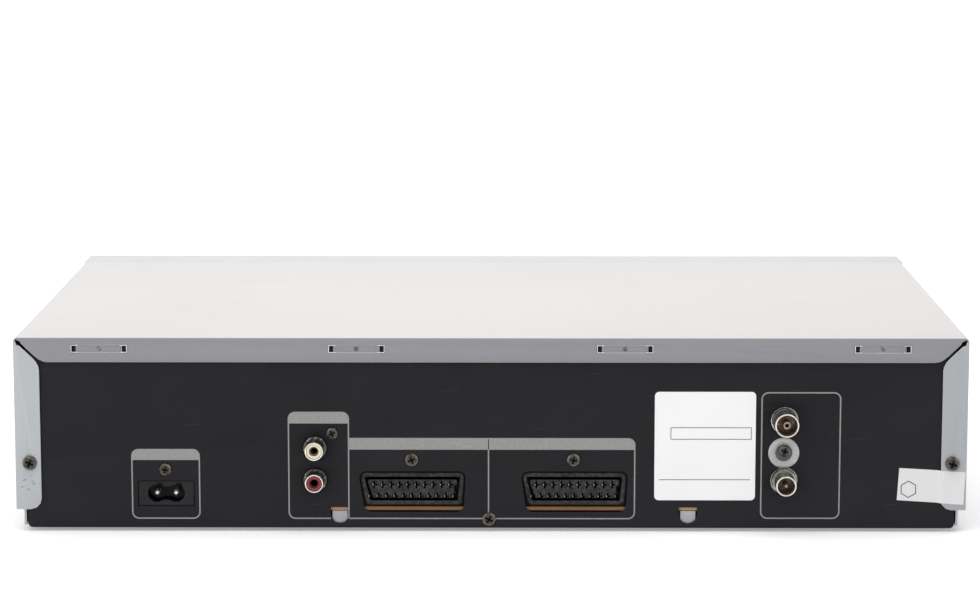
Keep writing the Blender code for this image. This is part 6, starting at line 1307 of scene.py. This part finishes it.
class RECORDER_OT_av_sockets(Operator):
    """Cut the cross slots of the two AV sockets and set the spring contacts in them"""

    bl_idname = "recorder.av_sockets"
    bl_label = "AV sockets"

    def execute(self, context):
        step = (-CONTACT_PITCH, 0, 0)
        leaves = []
        for name in ("av_socket_one", "av_socket_two"):
            rows = []
            low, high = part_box(name)
            for z, count in CONTACT_ROWS:
                first = (low.x + high.x) / 2 + (count - 1) / 2 * CONTACT_PITCH
                start = Vector((first, high.y, z))
                rows.append({"Start": start, "Step": step, "Count": count, "Block": SLOT_ARM})
                shifted = start + Vector((CONTACT_SHIFT, -CONTACT_LEAF[1] / 2 - SINK, 0))
                leaves.append(grown(row_tree(False), "contact_row", [], Start=shifted, Step=step,
                                    Count=count, Block=CONTACT_LEAF,
                                    Material=finish("contact_metal")))
            rounded_copy(name, AV_EDGE_RADIUS, slots=rows)
        solid_piece("av_contacts", joined_mesh(leaves), "contact_metal")
        return {"FINISHED"}


def shell_profile(flange, base, brim, fillet, outer, inner, tip):
    """A flanged tube with a rolled rim, as (radius, y) from the flange to the bore."""
    foot, turn = fillet
    return [(flange, base), (flange, brim - turn), (flange - SOFT, brim), (outer + foot, brim),
            (outer, brim + 0.0003), *((outer + x, tip + y) for x, y in OUTER_RIM),
            *((inner + x, tip + y) for x, y in INNER_RIM), (inner, base)]


class RECORDER_OT_round_sockets(Operator):
    """Turn the shells, insulators and linings of the audio and aerial sockets"""

    bl_idname = "recorder.round_sockets"
    bl_label = "Round sockets"

    def execute(self, context):
        for side, insulator in (("left", "white_insulator"), ("right", "red_insulator")):
            self.make_audio_socket(side, insulator)
        for node, radius in AERIAL_RADII.items():
            self.make_aerial_socket(node, radius)
        return {"FINISHED"}

    @staticmethod
    def make_audio_socket(side, insulator):
        """A collared shell with a rolled rim, and a stepped insulator in it."""
        node = f"audio_shell_{side}"
        place, collar, base, tip = socket_place(node)
        outer, inner = AUDIO_SHELL_RADIUS, AUDIO_SHELL_RADIUS - AUDIO_SHELL_WALL
        shell = shell_profile(collar, base, base + AUDIO_COLLAR_HEIGHT, (0.0002, 0.0002), outer,
                              inner, tip)
        turned_piece(f"audio_jack_shell_{side}", shell, place, "jack_plating", (node,))
        bore, face = AUDIO_BORE_RADIUS, tip - AUDIO_INSULATOR_SINK
        step = bore + 0.0006
        core = [(inner - 0.0001, base), (inner - 0.0001, face - 0.0002), (inner - 0.0003, face),
                (step + 0.0001, face), (step, face - 0.0001), (step, face - 0.0009),
                (bore + 0.0001, face - 0.0009), (bore, face - 0.0011), (bore, base)]
        turned_piece(f"audio_jack_insulator_{side}", core, place, insulator,
                     (f"audio_insulator_{side}",))

    @staticmethod
    def make_aerial_socket(node, radius):
        """A flanged shell, a browned lining with its floor, and a core ring or a pin."""
        place, flange, base, tip = socket_place(node)
        inner = radius - AERIAL_WALL
        floor = tip - AERIAL_DEPTH
        shell = shell_profile(flange, base, PANEL_FACE + AERIAL_FLANGE_HEIGHT, (0.0001, 0.0003),
                              radius, inner, tip)
        turned_piece(node + "_shell", shell, place, "aerial_shell", (node,))
        lining = [(0, floor - 0.0004), (inner - SINK, floor - 0.0004),
                  (inner - SINK, tip - 0.0010), (inner - AERIAL_LINING, tip - 0.0011),
                  (inner - AERIAL_LINING, floor), (0, floor)]
        turned_piece(node + "_lining", lining, place, "aerial_core")
        if node == "rf_in_socket":
            core = [(0.0017, floor - SINK), (0.0017, tip - 0.0009), (0.0015, tip - 0.0007),
                    (0.0011, tip - 0.0007), (0.0009, tip - 0.0009), (0.0009, floor - SINK)]
        else:
            core = [(0, floor - SINK), (0.0011, floor - SINK), (0.0011, tip - 0.0017),
                    (0.0006, tip - 0.0009), (0, tip - 0.0008)]
        turned_piece(node + "_core", core, place, "aerial_pin")


class RECORDER_OT_mouldings(Operator):
    """Round the edges of the keys, doors, feet, jack block and mains inlet"""

    bl_idname = "recorder.mouldings"
    bl_label = "Mouldings"

    def execute(self, context):
        radius = context.scene.recorder_fitting.moulding_radius
        for name in ("front_panel", "cassette_door", "av_flap", "display_window",
                     "power_button", "channel_rocker", *TRANSPORT_KEYS):
            rounded_copy(name, radius)
        for name in ("foot_front_left", "foot_front_right", "foot_rear_left", "foot_rear_right",
                     "audio_jack_block"):
            rounded_copy(name, radius / 2)
        left, right = (sum(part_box(f"ac_inlet_pin_{side}"), Vector()) / 2
                       for side in ("left", "right"))
        start = Vector((left.x + MAINS_KEYWAY_SHIFT[0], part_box("ac_inlet")[1].y,
                        left.z + MAINS_KEYWAY_SHIFT[1]))
        rounded_copy("ac_inlet", radius / 2, slots=[
            {"Start": start, "Step": ((right - left).x, 0, 0), "Count": 2,
             "Block": MAINS_KEYWAY}])
        return {"FINISHED"}


class RECORDER_OT_front_marks(Operator):
    """Print the transport symbols and set the unlit digits behind the pane"""

    bl_idname = "recorder.front_marks"
    bl_label = "Front marks"

    def execute(self, context):
        y = (FASCIA_FACE - context.scene.recorder_print.ink_thickness, FASCIA_FACE + SINK)
        bm = bmesh.new()
        for key in TRANSPORT_KEYS:
            low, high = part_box(key)
            for outline in self.symbol(key, KEY_SYMBOL_SIZE / 2):
                add_prism(bm, [((low.x + high.x) / 2 + x, KEY_SYMBOL_Z + z) for x, z in outline],
                          *y)
        solid_piece("key_symbols", bm, "symbol_ink")
        self.make_digits()
        return {"FINISHED"}

    @staticmethod
    def symbol(key, half):
        """The outlines of a key's symbol, as seen from the front."""
        ahead = [(-half, -half), (half, 0), (-half, half)]
        back = [(-x, z) for x, z in ahead]

        def twice(outline):
            return [[(x + shift, z) for x, z in outline] for shift in (-half, half)]

        def bar(low, high):
            return [(-half, low), (half, low), (half, high), (-half, high)]

        turns = [2 * math.pi * step / RECORD_DOT_STEPS for step in range(RECORD_DOT_STEPS)]
        return {
            "eject_button": [[(-half, -half * 0.2), (half, -half * 0.2), (0, half)],
                             bar(-half, -half * 0.55)],
            "rewind_button": twice(back),
            "play_button": [ahead],
            "fast_forward_button": twice(ahead),
            "stop_button": [bar(-half, half)],
            "record_button": [[on_circle((0, 0), half, turn) for turn in turns]],
        }[key]

    @staticmethod
    def make_digits():
        """Seven bars for each digit and two dots between the pairs."""
        low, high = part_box("display_tube")
        middle = (low.z + high.z) / 2
        y = (low.y - DIGIT_PROUD, low.y + SINK)
        bm = bmesh.new()
        half, reach, line = DIGIT_WIDTH / 2, DIGIT_HEIGHT / 2, DIGIT_LINE / 2
        gap = line * DIGIT_GAP
        boxes = [(-half + gap, z - line, half - gap, z + line) for z in (-reach, 0, reach)]
        boxes += [(x - line, z + gap, x + line, z + reach - gap)
                  for x in (-half, half) for z in (-reach, 0)]
        digits = [(place, box) for place in DIGIT_PLACES for box in boxes]
        centre = sum(DIGIT_PLACES) / len(DIGIT_PLACES)
        for place, (x0, z0, x1, z1) in digits:
            loop = [(x0, z0), (x1, z0), (x1, z1), (x0, z1)]
            if z1 - z0 > x1 - x0:
                loop = [(x0, z0), (x0, z1), (x1, z1), (x1, z0)]
            add_prism(bm, [(place + x + z * DIGIT_SLANT, middle + z) for x, z in loop], *y)
        for z in (-reach / 2, reach / 2):
            add_prism(bm, [(centre + x * line + z * DIGIT_SLANT, middle + z + w * line)
                           for x, w in ((-1, -1), (1, -1), (1, 1), (-1, 1))], *y)
        solid_piece("display_digits", bm, "unlit_segment")


class RECORDER_PT_pieces(Panel):
    """The recorder's settings and pieces"""

    bl_label = "Video cassette recorder"
    bl_space_type = "VIEW_3D"
    bl_region_type = "UI"
    bl_category = "Recorder"

    def draw(self, context):
        for group in (getattr(context.scene, name) for name in GROUPS):
            box = self.layout.box()
            for name in group.__annotations__:
                box.prop(group, name)
        for operator in OPERATORS:
            self.layout.operator(operator.bl_idname)


OPERATORS = (RECORDER_OT_stage, RECORDER_OT_finishes, RECORDER_OT_cover, RECORDER_OT_panel,
             RECORDER_OT_print, RECORDER_OT_labels, RECORDER_OT_screws, RECORDER_OT_av_sockets,
             RECORDER_OT_round_sockets, RECORDER_OT_mouldings, RECORDER_OT_front_marks)
GROUPS = {"recorder_finish": FinishSettings, "recorder_print": PrintSettings,
          "recorder_fitting": FittingSettings, "recorder_stage": StageSettings}


def register():
    for kind in (*GROUPS.values(), *OPERATORS, RECORDER_PT_pieces):
        bpy.utils.register_class(kind)
    for name, group in GROUPS.items():
        setattr(bpy.types.Scene, name, PointerProperty(type=group))


def unregister():
    for name in GROUPS:
        delattr(bpy.types.Scene, name)
    for kind in (RECORDER_PT_pieces, *reversed(OPERATORS), *reversed(GROUPS.values())):
        bpy.utils.unregister_class(kind)


def main():
    register()
    bpy.ops.recorder.stage()
    bpy.ops.recorder.finishes()
    bpy.ops.recorder.cover()
    bpy.ops.recorder.panel()
    bpy.ops.recorder.rear_print()
    bpy.ops.recorder.labels()
    bpy.ops.recorder.screws()
    bpy.ops.recorder.av_sockets()
    bpy.ops.recorder.round_sockets()
    bpy.ops.recorder.mouldings()
    bpy.ops.recorder.front_marks()


if __name__ == "__main__":
    main()
